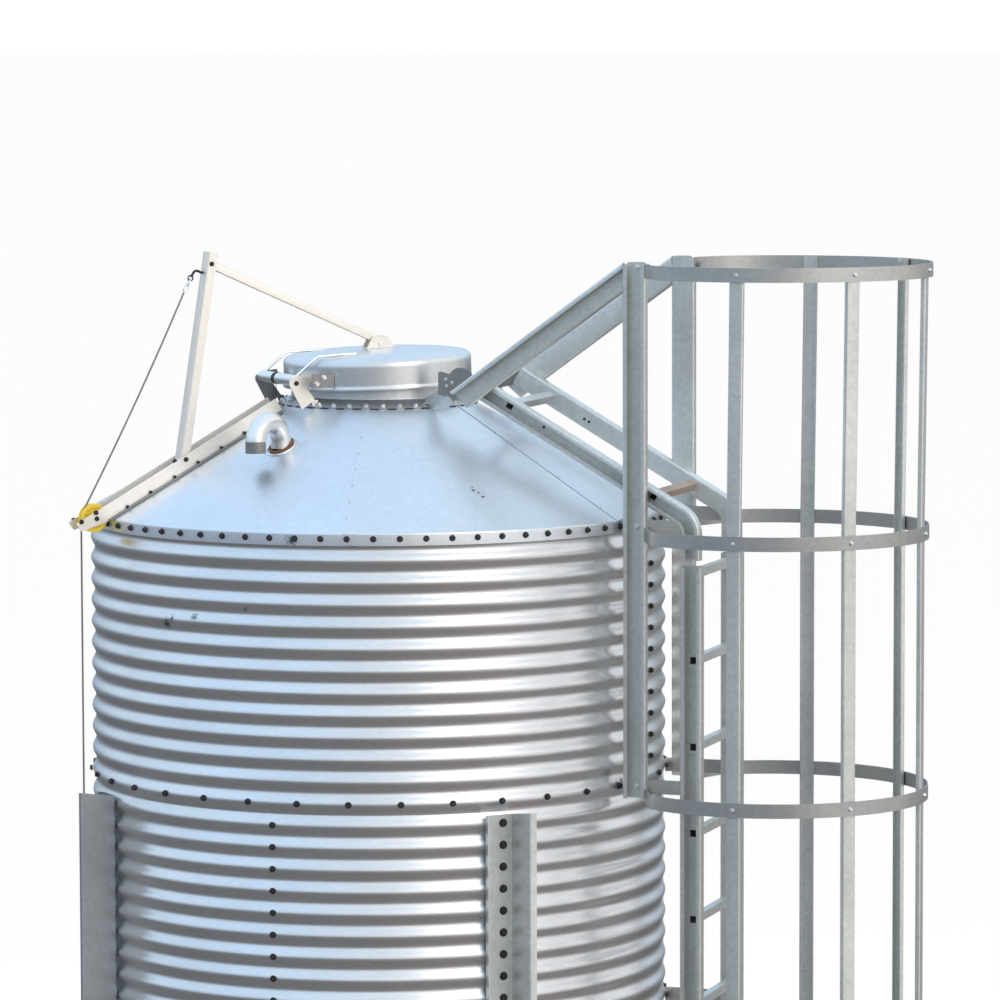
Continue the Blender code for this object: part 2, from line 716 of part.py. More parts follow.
def build_roof_arms(root):
    """Two angles along the roof seam carry the strut's pivot and the pulley beyond the eave."""
    slope = atan2(-ROOF_RISE, 1.0)
    above = LINK.up * cos(slope) - LINK.out * sin(slope)
    upper, eave, nose = RAIL_ARM_ENDS

    def corner(out, height):
        return out - height * sin(slope), roof_z(out) + height * cos(slope)

    face = [corner(upper, 0.0008), corner(eave, 0.0008), corner(nose - 0.003, RAIL_ARM_NOSE),
            corner(nose, RAIL_ARM_H), corner(upper, RAIL_ARM_H)]
    for label, sign in (("near", 1), ("far", -1)):
        inner = sign * RAIL_ARM_SIDE
        web = sign * (RAIL_ARM_SIDE + RAIL_ARM_T)
        toe = sign * (RAIL_ARM_SIDE + RAIL_ARM_FOOT)
        arm = plate(f"roof_arm_{label}", LINK, face, inner, web, root, "cream_zinc")
        foot = rectangle(web - sign * 0.002, toe, 0.0004, RAIL_ARM_FOOT_T)
        ends = (upper + 0.002, eave - 0.002)
        stations = [(LINK.at(out, 0, roof_z(out)), LINK.side, above) for out in ends]
        boolean(arm, cutter(f"roof_arm_foot_{label}", stations, foot, root), "UNION")
    reach = RAIL_ARM_SIDE - GAP
    for name, place, radius in (("strut_pin", STRUT_PIVOT, PIN_R), ("pulley_axle", PULLEY, SMALL_PIN_R)):
        centre = LINK.at(place[0], 0, place[1])
        stations = [(centre + LINK.side * s, LINK.out, LINK.up) for s in (-reach, reach)]
        sweep(name, stations, circle(radius, 16), root, "bolt_steel", smooth=True)


def build_pulley(parent):
    bore = SMALL_PIN_R + 0.0005
    section = [(bore, -PULLEY_HALF), (PULLEY_R, -PULLEY_HALF), (PULLEY_R, -PULLEY_HALF + 0.004),
               (PULLEY_GROOVE, -0.004), (PULLEY_GROOVE, 0.004), (PULLEY_R, PULLEY_HALF - 0.004),
               (PULLEY_R, PULLEY_HALF), (bore, PULLEY_HALF)]
    centre = LINK.at(PULLEY[0], 0, PULLEY[1])
    stations = []
    sides = 24
    for i in range(sides):
        turn = 2 * pi * i / sides
        stations.append((centre, LINK.out * cos(turn) + LINK.up * sin(turn), LINK.side))
    sweep("pulley", stations, section, parent, "yellow_plastic", closed=True, smooth=True)


def rope_geometry():
    """The rope's line from the eye to the pulley: its direction and the point where it meets the wheel."""
    wrap = PULLEY_GROOVE + ROPE_R + 0.0015
    out = PULLEY[0] - ROPE_EYE[0]
    z = PULLEY[1] - ROPE_EYE[1]
    reach = hypot(out, z)
    lean = atan2(z, out) + asin(wrap / reach)
    length = sqrt(reach * reach - wrap * wrap)
    direction = LINK.out * cos(lean) + LINK.up * sin(lean)
    return direction, length, lean, wrap


def rope_curve(name, points, parent):
    curve = bpy.data.curves.new(name, "CURVE")
    curve.dimensions = "3D"
    curve.bevel_depth = ROPE_R
    curve.bevel_resolution = 2
    curve.use_fill_caps = True
    spline = curve.splines.new("POLY")
    spline.points.add(len(points) - 1)
    for slot, point in zip(spline.points, points):
        slot.co = (*(point - home(parent)), 1.0)
    made = bpy.data.objects.new(name, curve)
    bpy.context.scene.collection.objects.link(made)
    made.parent = parent
    curve.materials.append(material("wire_rope"))
    return made


def build_rope_run(parent):
    """The snap hook and the taut run of wire rope from it to the pulley."""
    direction, length, lean, _ = rope_geometry()
    eye = LINK.at(ROPE_EYE[0], 0, ROPE_EYE[1])
    rod = HOOK_ROD
    half = HOOK_HALF
    seat = EYE_R - rod - 0.0012
    straight = HOOK_LENGTH - 2 * half
    start = eye + direction * seat
    steps = 8
    path = []
    for i in range(steps + 1):
        turn = pi / 2 + pi * i / steps
        path.append((half + half * cos(turn), half * sin(turn)))
    for i in range(steps + 1):
        turn = -pi / 2 + pi * i / steps
        path.append((half + straight + half * cos(turn), half * sin(turn)))
    mesh_data = bmesh.new()
    rings = []
    up = direction.cross(LINK.side).normalized()
    count = len(path)
    for i, (a, b) in enumerate(path):
        a0, b0 = path[i - 1]
        a1, b1 = path[(i + 1) % count]
        along = (direction * (a1 - a0) + LINK.side * (b1 - b0)).normalized()
        across = up.cross(along).normalized()
        origin = start + direction * a + LINK.side * b
        rings.append((origin, up, across))
    sweep_into(mesh_data, rings, circle(rod, 8), closed=True)
    finish("snap_hook", mesh_data, parent, "bolt_steel", smooth=True)
    first = seat + HOOK_LENGTH + rod + GAP
    inwards = LINK.out * sin(lean) - LINK.up * cos(lean)
    points = []
    count = 12
    for i in range(count + 1):
        share = i / count
        sag = 4 * ROPE_SAG * share * (1 - share)
        points.append(eye + direction * (first + (length - first - GAP / 2) * share) + inwards * sag)
    rope_curve("rope_run", points, parent)


def build_rope_tail(root):
    """The rope from the top of the pulley's rim, over it and down the leg to its cleat."""
    direction, _, lean, wrap = rope_geometry()
    centre = (PULLEY[0], PULLEY[1])
    start = lean + pi / 2
    points = []
    steps = 5
    for i in range(steps + 1):
        turn = start * (1 - i / steps)
        points.append(LINK.at(centre[0] + wrap * cos(turn), 0, centre[1] + wrap * sin(turn)))
    points[0] = points[0] + direction * GAP
    drop = centre[1] - CLEAT_Z
    count = 24
    for i in range(1, count + 1):
        points.append(LINK.at(centre[0] + wrap, 0, centre[1] - drop * i / count))
    rope_curve("rope_tail", points, root)
    web = LEG_FLANGE[1] - GAP
    out = centre[0] + wrap
    top = CLEAT_Z - GAP
    stations = [(LINK.side * s, LINK.out, LINK.up) for s in (web, -0.012)]
    outline = [(out - 0.014, top), (out + 0.014, top), (out + 0.014, top - 0.050), (out - 0.014, top - 0.050)]
    sweep("rope_cleat", stations, outline, root, "bolt_steel")


def build_legs(root):
    """Four legs, each bolted to the lower ring and standing on its own foot plate."""
    wall = CREST_R + GAP
    low, high = LEG_FLANGE
    far = wall + LEG_T + LEG_DEPTH
    section = [
        (wall, low), (wall + LEG_LIP, low), (wall + LEG_LIP, low + LEG_T), (wall + LEG_T, low + LEG_T),
        (wall + LEG_T, high), (far, high), (far, high + LEG_TOE), (far - LEG_T, high + LEG_TOE),
        (far - LEG_T, high + LEG_T), (wall, high + LEG_T),
    ]
    for number, az in enumerate(LEG_AZ):
        plane = Upright(az)
        rising = plane.out + plane.up * LEG_TOP_RISE
        stations = [(plane.up * (FOOT_T / 2), plane.out, plane.side),
                    (plane.up * (LEG_TOP_Z - LEG_TOP_RISE * wall), rising, plane.side)]
        leg = sweep(f"leg_{number + 1}", stations, section, root, "galvanised")
        stations = [(plane.at(FOOT_OUT, 0, z), plane.out, plane.side) for z in (0.0, FOOT_T)]
        outline = rectangle(-FOOT_HALF, FOOT_HALF, -FOOT_HALF, FOOT_HALF)
        boolean(leg, cutter(f"foot_plate_{number + 1}", stations, outline, root), "UNION")


def build_side_ladder(root):
    mesh_data = bmesh.new()
    for sign in (-1, 1):
        section = lipped(STILE_W, STILE_FLANGE, LIP, CHANNEL_T)
        foot, head = (LADDER.at(STILE_OUT, sign * STILE_SIDE, z) for z in STILE_ENDS)
        stations = [(place, LADDER.out, LADDER.side * sign) for place in (foot, head)]
        sweep_into(mesh_data, stations, section)
    ladder = finish("side_ladder", mesh_data, root, "galvanised")
    mesh_data = bmesh.new()
    for i in range(RUNGS):
        centre = LADDER.at(STILE_OUT, 0, TOP_RUNG_Z - i * RUNG_STEP)
        stations = [(centre + LADDER.side * s, LADDER.out, LADDER.up) for s in (-STILE_SIDE, STILE_SIDE)]
        sweep_into(mesh_data, stations, rectangle(-RUNG_HALF, RUNG_HALF, -RUNG_HALF, RUNG_HALF))
    boolean(ladder, hidden(finish("side_ladder_rungs", mesh_data, root, "galvanised")), "UNION")
    levels = (("seam", RING_SEAM_Z, CREST_R), ("low", HOPPER_SEAM_Z + PITCH, CREST_R))
    add_standoffs(ladder, levels, STILE_OUT - STILE_W / 2 + 0.0015, root)


def rail_path():
    """The roof rail's middle line: straight down the roof, then bent to the upright ladder."""
    slope = radians(RAIL_SLOPE)
    edge_r = BEND_R - RAIL_W / 2
    turn = pi / 2 - slope
    bend_out = RAIL_OUT - RAIL_W / 2 - edge_r
    start_of_bend = bend_out + edge_r * cos(turn)
    bend_z = RAIL_POINT[1] - (start_of_bend - RAIL_POINT[0]) * tan(slope) - edge_r * sin(turn)
    points = [(RAIL_START, RAIL_POINT[1] + (RAIL_POINT[0] - RAIL_START) * tan(slope), pi / 2 - slope)]
    steps = 5
    for i in range(steps + 1):
        angle = turn * (1 - i / steps)
        points.append((bend_out + edge_r * cos(angle), bend_z + edge_r * sin(angle), angle))
    points.append((bend_out + edge_r, RAIL_END_Z, 0.0))
    return points


def build_roof_ladder(root):
    mesh_data = bmesh.new()
    for sign in (-1, 1):
        section = lipped(RAIL_W, STILE_FLANGE, LIP, CHANNEL_T)
        stations = []
        for out, z, angle in rail_path():
            normal = LADDER.out * cos(angle) + LADDER.up * sin(angle)
            stations.append((LADDER.at(out, sign * STILE_SIDE, z), normal, LADDER.side * sign))
        sweep_into(mesh_data, stations, section)
    ladder = finish("roof_ladder", mesh_data, root, "galvanised")
    slope = radians(RAIL_SLOPE)
    along = LADDER.out * cos(slope) - LADDER.up * sin(slope)
    above = LADDER.up * cos(slope) + LADDER.out * sin(slope)
    mesh_data = bmesh.new()
    for i in RAIL_RUNGS:
        centre = LADDER.at(RAIL_POINT[0], 0, RAIL_POINT[1]) + along * (i * RUNG_STEP)
        stations = [(centre + LADDER.side * s, along, above) for s in (-STILE_SIDE, STILE_SIDE)]
        sweep_into(mesh_data, stations, rectangle(-RUNG_HALF, RUNG_HALF, -RUNG_HALF, RUNG_HALF))
    boolean(ladder, hidden(finish("roof_ladder_rungs", mesh_data, root, "galvanised")), "UNION")
    add_standoffs(ladder, (("eave", EAVE_BOLT_Z, EAVE_R),), RAIL_OUT - RAIL_W + 0.0015, root)


def build_posts(root):
    inner = POST_OUT - POST_W / 2
    half = HANDRAIL_W / 2 / cos(atan2(HANDRAIL_RISE, 1.0))
    web = POST_SIDE + CHANNEL_T / 2

    def rail_z(out):
        return HANDRAIL_POINT[1] + (out - HANDRAIL_POINT[0]) * HANDRAIL_RISE

    top_out, foot_out = HANDRAIL_ENDS
    head_out = inner - GAP
    for label, sign in (("near", -1), ("far", 1)):
        section = lipped(POST_W, POST_FLANGE, LIP, CHANNEL_T)
        stations = [(LADDER.at(POST_OUT, sign * web, z), LADDER.out, LADDER.side * sign) for z in POST_ENDS]
        sweep(f"post_{label}", stations, section, root, "galvanised")
        section = lipped(HANDRAIL_W, POST_FLANGE - 0.004, LIP, CHANNEL_T)
        stations = []
        for top, foot in ((top_out, foot_out), (head_out, head_out)):
            high = LADDER.at(top, sign * web, rail_z(top) + half)
            low = LADDER.at(foot, sign * web, rail_z(foot) - half)
            stations.append(((high + low) / 2, (high - low) / HANDRAIL_W, LADDER.side * sign))
        sweep(f"handrail_{label}", stations, section, root, "galvanised")


def build_gussets(root):
    """Rounded plates behind the handrails' lower ends, on straps that come up from the collar's foot."""
    head = [(0.3313, 4.150), (0.2915, 4.160), (0.2915, 4.229), (0.300, 4.232), (0.3294, 4.2243)]
    for i in range(8):
        turn = radians(150 - 144 * i / 7)
        head.append((0.3662 + 0.0425 * cos(turn), 4.203 + 0.0425 * sin(turn)))
    head += [(0.389, 4.1735), (0.370, 4.160)]
    strap = [(0.2238, 0.1900, 4.1418), (0.2878, 0.2343, 4.1711), (0.3313, 0.2547, 4.1513),
             (0.3416, 0.2561, 4.1328), (0.3170, 0.2380, 4.1169), (0.2619, 0.2040, 4.1088)]
    for label, sign in (("near", -1), ("far", 1)):
        side0 = sign * (POST_SIDE - GAP)
        side1 = side0 - sign * GUSSET_T
        gusset = plate(f"gusset_{label}", LADDER, head, side0, side1, root, "weathered")
        corners = [LADDER.at(out, sign * side, z) for out, side, z in strap]
        inwards = (corners[5] - corners[0]).cross(corners[2] - corners[0]).normalized()
        if inwards.dot(LADDER.side) * sign > 0:
            inwards = -inwards
        mesh_data = bmesh.new()
        rings = []
        for depth in (0, GUSSET_T):
            rings.append([mesh_data.verts.new(corner + inwards * depth) for corner in corners])
        for i in range(len(corners)):
            j = (i + 1) % len(corners)
            mesh_data.faces.new((rings[0][i], rings[0][j], rings[1][j], rings[1][i]))
        mesh_data.faces.new(rings[0])
        mesh_data.faces.new(rings[1][::-1])
        boolean(gusset, hidden(finish(f"gusset_strap_{label}", mesh_data, root, "weathered")), "UNION")
        stations = []
        for side in (sign * 0.176, sign * 0.200):
            rest = roof_at(LADDER.at(0.225, side, 0)) + COLLAR_T + 0.0012
            stations.append((LADDER.at(0, side, rest), LADDER.out, LADDER.up))
        pad = cutter(f"gusset_pad_{label}", stations, rectangle(0.225, 0.261, 0, 0.005), root)
        boolean(gusset, pad, "UNION")


def add_standoffs(ladder, levels, end, root):
    """Flat bars from the wall past the posts, joined to the ladder's stiles at the rows of bolts."""
    for level, z, radius in levels:
        for label, sign in (("near", -1), ("far", 1)):
            side0 = POST_SIDE - 2 * GAP
            side1 = side0 - STRAP
            start = max(wall_out(LADDER, sign * s, radius) for s in (side0, side1)) + 0.0004
            outline = rectangle(start, end, z - STRAP_W / 2, z + STRAP_W / 2)
            stations = plate_stations(LADDER, sign * side0, sign * side1)
            boolean(ladder, cutter(f"standoff_{level}_{label}", stations, outline, root), "UNION")


def hoop_path(number):
    """The middle line of a hoop, in plan: an arc, and a foot at each end."""
    middle = CAGE_R - STRAP / 2
    last = 14 if number < HOOPS - 1 else 12
    centre = CAGE_OUT + (HOOP_LEAN if number == 0 else 0)
    arc = []
    for i in range(-last, last + 1):
        phi = radians(HOOP_VERTEX * i)
        arc.append((centre + middle * cos(phi), middle * sin(phi)))
    if number < HOOPS - 1:
        face = POST_OUT + POST_W / 2 + GAP + STRAP / 2
        web = POST_SIDE + CHANNEL_T
        foot = [(face, web - 0.002), (face, web + POST_FLANGE)]
    else:
        level = STILE_SIDE + STILE_FLANGE + CHANNEL_T / 2 + GAP + STRAP / 2
        foot = [(STILE_OUT - STILE_W / 2, level), (STILE_OUT + STILE_W / 2 + 0.012, level)]
    return [(out, -side) for out, side in foot] + arc + foot[::-1]


def build_cage(root):
    half = STRAP / 2
    for number in range(HOOPS):
        top = HOOP_TOP_Z - HOOP_STEP * number
        path = hoop_path(number)
        stations = []
        for i, (out, side) in enumerate(path):
            before = path[max(i - 1, 0)]
            after = path[min(i + 1, len(path) - 1)]
            back = Vector((out - before[0], side - before[1]))
            ahead = Vector((after[0] - out, after[1] - side))
            back = (back if back.length > 0 else ahead).normalized()
            ahead = (ahead if ahead.length > 0 else back).normalized()
            along = (back + ahead).normalized()
            stretch = 1 / max(along.dot(ahead), 0.5)
            normal = (LADDER.out * along.y - LADDER.side * along.x) * stretch
            stations.append((LADDER.at(out, side, top - STRAP_W / 2), normal, LADDER.up))
        section = rectangle(-half, half, -STRAP_W / 2, STRAP_W / 2)
        sweep(f"cage_hoop_{number + 1}", stations, section, root, "galvanised")
    reach = (CAGE_R - STRAP) * cos(radians(HOOP_VERTEX / 2)) - 0.0004
    face = sqrt(reach * reach - BAR_W * BAR_W / 4)
    low = HOOP_TOP_Z - HOOP_STEP * (HOOPS - 1) - STRAP_W
    heights = [(low, 0), (HOOP_TOP_Z - HOOP_STEP + 0.004, 0), (HOOP_TOP_Z - STRAP_W - 0.004, HOOP_LEAN),
               (HOOP_TOP_Z - 0.002, HOOP_LEAN)]
    wide = BAR_W / 2
    section = [(0, -wide), (0, wide), (-BAR_DEPTH, wide), (-BAR_DEPTH, wide - BAR_T),
               (-BAR_T, wide - BAR_T), (-BAR_T, -wide + BAR_T), (-BAR_DEPTH, -wide + BAR_T),
               (-BAR_DEPTH, -wide)]
    for number, phi in enumerate(BAR_ANGLES):
        outward = LADDER.out * cos(radians(phi)) + LADDER.side * sin(radians(phi))
        along = LADDER.side * cos(radians(phi)) - LADDER.out * sin(radians(phi))
        stations = []
        for z, lean in heights:
            stations.append((LADDER.at(CAGE_OUT + lean, 0, z) + outward * face, outward, along))
        sweep(f"cage_bar_{number + 1}", stations, section, root, "galvanised")


def build():
    clear_scene()
    root = empty("silo_axis", (AXIS_X, 0.0, 0.0))
    build_walls(root)
    build_hopper(root)
    build_roof(root)
    build_vent(root)
    build_legs(root)
    build_hinge_plates(root)
    build_roof_arms(root)
    build_side_ladder(root)
    build_roof_ladder(root)
    build_posts(root)
    build_gussets(root)
    build_cage(root)
    build_rope_tail(root)
    build_lid(empty("lid_axis", LINK.at(HINGE[0], 0, HINGE[1]), root))
    strut_axis = empty("strut_axis", LINK.at(STRUT_PIVOT[0], 0, STRUT_PIVOT[1]), root)
    build_strut(strut_axis)
    build_link(empty("link_axis", LINK.at(LINK_PIN[0], 0, LINK_PIN[1]), strut_axis))
    build_rope_run(empty("rope_axis", LINK.at(ROPE_EYE[0], 0, ROPE_EYE[1]), strut_axis))
    build_pulley(empty("pulley_axis", LINK.at(PULLEY[0], 0, PULLEY[1]), root))


build()
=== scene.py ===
# %% [markdown]
# # A corrugated grain silo on legs
#
# The real object is a small galvanised silo: two rings of corrugated sheet, a cone roof of six panels, a
# fill lid that a wire rope pulls open, and a ladder inside a cage. Its solids were made first and packed
# with their joints. This file loads them as a fixed frame, and gives each part its real surface: sheets as
# thin and as round as the real ones, bolts where the real ones are, and metal that has a grain.
#
# The text before a cell says what the piece is on the real silo, how it could be made, and why this way was
# chosen.

# %% Load the frame
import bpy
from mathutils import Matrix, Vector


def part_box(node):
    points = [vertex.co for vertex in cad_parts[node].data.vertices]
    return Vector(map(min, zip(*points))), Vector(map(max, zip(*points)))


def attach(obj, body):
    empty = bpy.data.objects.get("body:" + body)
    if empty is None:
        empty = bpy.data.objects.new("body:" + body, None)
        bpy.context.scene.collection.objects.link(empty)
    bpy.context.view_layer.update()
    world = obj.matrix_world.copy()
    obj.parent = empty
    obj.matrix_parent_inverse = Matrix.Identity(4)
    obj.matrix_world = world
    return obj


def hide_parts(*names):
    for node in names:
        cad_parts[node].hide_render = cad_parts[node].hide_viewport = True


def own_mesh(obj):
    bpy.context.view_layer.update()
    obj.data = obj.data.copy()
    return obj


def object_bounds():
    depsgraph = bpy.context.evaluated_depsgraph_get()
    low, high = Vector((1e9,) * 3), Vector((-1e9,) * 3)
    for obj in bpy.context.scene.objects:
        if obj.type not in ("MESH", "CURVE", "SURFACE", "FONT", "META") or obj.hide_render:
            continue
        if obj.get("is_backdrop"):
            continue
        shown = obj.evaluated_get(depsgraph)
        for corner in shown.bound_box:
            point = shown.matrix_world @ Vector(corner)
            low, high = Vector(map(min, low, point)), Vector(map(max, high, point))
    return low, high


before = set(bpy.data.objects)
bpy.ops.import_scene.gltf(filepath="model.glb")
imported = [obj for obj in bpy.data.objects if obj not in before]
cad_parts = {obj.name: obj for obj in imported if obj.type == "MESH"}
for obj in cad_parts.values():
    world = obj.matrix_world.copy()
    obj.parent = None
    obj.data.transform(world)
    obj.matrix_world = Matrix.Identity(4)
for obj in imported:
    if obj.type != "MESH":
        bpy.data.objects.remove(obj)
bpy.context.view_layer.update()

# %% Tools that the cells share
from math import asin, atan2, ceil, cos, degrees, hypot, pi, radians, sin, sqrt, tan

import bmesh
import bpy
from mathutils import Matrix, Vector

scene = bpy.context.scene
depsgraph = bpy.context.evaluated_depsgraph_get
low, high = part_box("outlet_boot")
AXIS_X = (low[0] + high[0]) / 2
print("the tank's axis stands at x =", round(AXIS_X, 4))


def add_object(name, data):
    made = bpy.data.objects.new(name, data)
    scene.collection.objects.link(made)
    return made


# %% [markdown]
# ## Nodes in one line
#
# Materials, the world and the Geometry Nodes trees are all made of nodes. A node takes a line to add and a
# line for each input. put() does it in one: the inputs are named in a dictionary, and each is either a plain
# value or the socket of an earlier node.

# %% Put a node
def put(tree, kind, inputs=None, **settings):
    made = tree.nodes.new(kind)
    for key, value in settings.items():
        setattr(made, key, value)
    for key, value in (inputs or {}).items():
        if isinstance(value, bpy.types.NodeSocket):
            tree.links.new(value, made.inputs[key])
        else:
            made.inputs[key].default_value = value
    return made.outputs


def calc(tree, operation, *values):
    return put(tree, "ShaderNodeMath", dict(enumerate(values)), operation=operation)[0]


def between(tree, value, start, end, first=0.0, last=1.0):
    """Spreads a value from one range to another."""
    return put(tree, "ShaderNodeMapRange", {"Value": value, "From Min": start, "From Max": end,
                                            "To Min": first, "To Max": last})[0]


# %% [markdown]
# ## Places on a round tank
#
# On a silo, nearly everything is placed by its direction from the tank's axis. Plain x and y would need a
# sine and a cosine in every line. So one small class holds the upright plane through the axis in one
# direction, and a place in it is given by how far out, how far to the side and how high it lies. Directions
# are in degrees, 0 towards the viewer and growing to the right.

# %% Upright planes
class Upright:
    def __init__(self, az):
        self.out = Vector((sin(radians(az)), -cos(radians(az)), 0.0))
        self.side = Vector((cos(radians(az)), sin(radians(az)), 0.0))
        self.up = Vector((0.0, 0.0, 1.0))

    def at(self, out, side, z):
        return Vector((AXIS_X, 0, 0)) + self.out * out + self.side * side + self.up * z


LINK = Upright(-66.0)
LADDER = Upright(70.0)
VENT = Upright(-36.0)

# %% [markdown]
# ## The sizes that the solids were made with
#
# A dressed piece has to lie where its solid lies. The solids' own values are repeated here by name, because
# a piece that is drawn from the same numbers can't drift away from its solid.

# %% Sizes
PITCH, WAVE, TANK_R = 0.0677, 0.00635, 0.9144
CREST_R = TANK_R + WAVE
RING_SEAM_Z = 2.95
EAVE_BOLT_Z = RING_SEAM_Z + 12 * PITCH
HOPPER_SEAM_Z = RING_SEAM_Z - 12 * PITCH
UPPER_SEAM, LOWER_SEAM = -111.0, -19.7
ROOF_RISE, EAVE_R, EAVE_Z, SKIRT_Z = 0.5477, 0.925, 3.7788, 3.741
ROOF_SEAMS = [-66.0 + 60 * i for i in range(6)]
LEG_AZ = (24.0, 114.0, 204.0, -66.0)
HINGE, CLEVIS_PIN = (0.342, 4.200), (0.0, 4.313)
STRUT_PIVOT, LINK_PIN = (0.675, 3.957), (0.579, 4.568)
PULLEY, ROPE_EYE, ROPE_R = (0.975, 3.783), (0.641, 4.524), 0.0032
STILE_OUT, STILE_SIDE, STILE_W, FLANGE, GAUGE, LIP = 1.114, 0.207, 0.068, 0.040, 0.003, 0.013
RAIL_OUT, RAIL_W = 1.142, 0.060
POST_OUT, POST_W, POST_FLANGE = 0.942, 0.074, 0.030
POST_SIDE = STILE_SIDE + FLANGE + GAUGE / 2 + 0.0003
CAGE_OUT, CAGE_R, STRAP, STRAP_W, HOOP_LEAN = 1.313, 0.484, 0.004, 0.044, 0.009
HOOP_STEP = 12 * PITCH + 0.003
HOOP_TOPS = [4.577 - HOOP_STEP * i for i in range(4)]
BARS = (-89.5, -45.5, 0.8, 47.5, 92.2)


def roof_z(radius):
    return EAVE_Z + (EAVE_R - radius) * ROOF_RISE


# %% [markdown]
# ## The camera
#
# The photograph was taken from far away with a long lens, a little above the roof's edge. Guessing a camera
# by eye never quite fits, so it was solved from the rows of bolts, which have known places on the round wall.

# %% Camera
lens = bpy.data.cameras.new("long lens")
lens.sensor_width = 36.0
lens.lens = 182.516
lens.clip_end = 9000.0
camera = add_object("camera", lens)
aim = Matrix.Rotation(radians(-1.380), 4, "Z") @ Matrix.Rotation(radians(84.887), 4, "X")
roll = Matrix.Rotation(radians(-0.161), 4, "Z")
camera.matrix_world = Matrix.Translation((AXIS_X, -16.18, 5.2452)) @ aim @ roll
scene.camera = camera

# %% [markdown]
# ## Light and floor
#
# Bright galvanised steel has hardly a colour of its own: it shows what stands around it. Outdoors that is a
# pale blue sky, a warm side towards the sun, and dark ground, and the dark ground is what draws the lower
# half of every wave in the wall. In a studio the same is done with cards that only the metal sees. So the
# world has two faces. Plain rays meet white. Glossy rays meet ground, skyline, sky and zenith, each a row of
# colours that turns from the cool side to the sunny one. The floor is hidden from glossy rays for the same
# reason.

# %% Floor
FLOOR_REACH = 4000.0
mesh = bpy.data.meshes.new("pale_floor")
corners = [(x * FLOOR_REACH, y * FLOOR_REACH, 0) for x, y in ((-1, -1), (1, -1), (1, 1), (-1, 1))]
mesh.from_pydata(corners, [], [(0, 1, 2, 3)])
floor = add_object("pale_floor", mesh)
pale = bpy.data.materials.new("pale floor")
pale.use_nodes = True
shader = pale.node_tree.nodes["Principled BSDF"]
shader.inputs["Base Color"].default_value = (0.93, 0.93, 0.93, 1)
shader.inputs["Roughness"].default_value = 1.0
shader.inputs["Specular IOR Level"].default_value = 0.0
mesh.materials.append(pale)
floor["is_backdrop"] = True
floor.visible_glossy = False

# %% World
world = bpy.data.worlds.new("studio")
scene.world = world
world.use_nodes = True
around = world.node_tree
around.nodes.clear()


def ramp(value, stops):
    """Colours by position, for a value that runs from -1 to 1."""
    share = between(around, value, -1.0, 1.0)
    band = around.nodes.new("ShaderNodeValToRGB")
    for position, colour in stops:
        band.color_ramp.elements.new((position + 1) / 2).color = (*colour, 1)
    band.color_ramp.elements.remove(band.color_ramp.elements[0])
    band.color_ramp.elements.remove(band.color_ramp.elements[-1])
    around.links.new(share, band.inputs[0])
    return band.outputs[0]


def stacked(value, start, end, first, second):
    """The first colour below the start, the second above the end, and a blend between."""
    share = ramp(value, [(start, (0.0, 0.0, 0.0)), (end, (1.0, 1.0, 1.0))])
    return put(around, "ShaderNodeMix", {"Factor": share, 6: first, 7: second}, data_type="RGBA")[2]


toward = put(around, "ShaderNodeTexCoord")["Generated"]
height = put(around, "ShaderNodeSeparateXYZ", {0: toward})["Z"]
sun = {0: toward, 1: (0.90, -0.43, 0.0)}
sunny = put(around, "ShaderNodeVectorMath", sun, operation="DOT_PRODUCT")["Value"]
ground = ramp(sunny, [(-1.0, (0.085, 0.090, 0.100)), (0.2, (0.11, 0.11, 0.11)), (0.8, (0.26, 0.22, 0.20)),
                      (1.0, (0.27, 0.23, 0.21))])
skyline = ramp(sunny, [(-1.0, (0.28, 0.35, 0.43)), (-0.5, (0.19, 0.235, 0.295)), (0.05, (0.32, 0.36, 0.40)),
                       (0.45, (0.36, 0.37, 0.38)), (0.8, (1.05, 1.01, 0.95)), (1.0, (1.12, 1.06, 0.98))])
sky = ramp(sunny, [(-1.0, (0.76, 0.95, 1.14)), (-0.7, (0.68, 0.90, 1.14)), (-0.3, (0.68, 0.90, 1.14)),
                   (0.3, (0.82, 0.96, 1.08)), (0.8, (1.30, 1.28, 1.26)), (1.0, (1.42, 1.38, 1.34))])
zenith = ramp(sunny, [(-1.0, (0.70, 0.97, 1.28)), (-0.2, (0.73, 0.98, 1.26)), (0.1, (0.80, 0.98, 1.14)),
                      (1.0, (0.84, 0.96, 1.06))])
view = stacked(height, -0.30, -0.04, ground, skyline)
view = stacked(height, -0.04, 0.22, view, sky)
view = stacked(height, 0.30, 0.75, view, zenith)
glow = put(around, "ShaderNodeBackground", {"Color": view})[0]
plain = put(around, "ShaderNodeBackground", {"Color": (1.0, 1.0, 1.0, 1.0), "Strength": 1.05})[0]
glossy = put(around, "ShaderNodeLightPath")["Is Glossy Ray"]
both = put(around, "ShaderNodeMixShader", {0: glossy, 1: plain, 2: glow})[0]
put(around, "ShaderNodeOutputWorld", {"Surface": both})

# %% Lamps
for name, place, size, energy, colour in (
    ("warm key", (6.5, -9.0, 9.0), 5.0, 240.0, (1.0, 0.95, 0.88)),
    ("cool fill", (-8.0, -6.0, 7.5), 6.0, 120.0, (0.86, 0.93, 1.0)),
    ("rim", (-3.0, 9.0, 8.0), 5.0, 120.0, (1.0, 1.0, 1.0)),
):
    lamp = bpy.data.lights.new(name, "AREA")
    lamp.size = size
    lamp.energy = energy
    lamp.color = colour
    holder = add_object(name, lamp)
    holder.location = place
    holder.visible_glossy = name == "warm key"
    tank = Vector((AXIS_X, 0, 3.6))
    holder.rotation_euler = (tank - Vector(place)).to_track_quat("-Z", "Y").to_euler()
scene.view_settings.view_transform = "Standard"

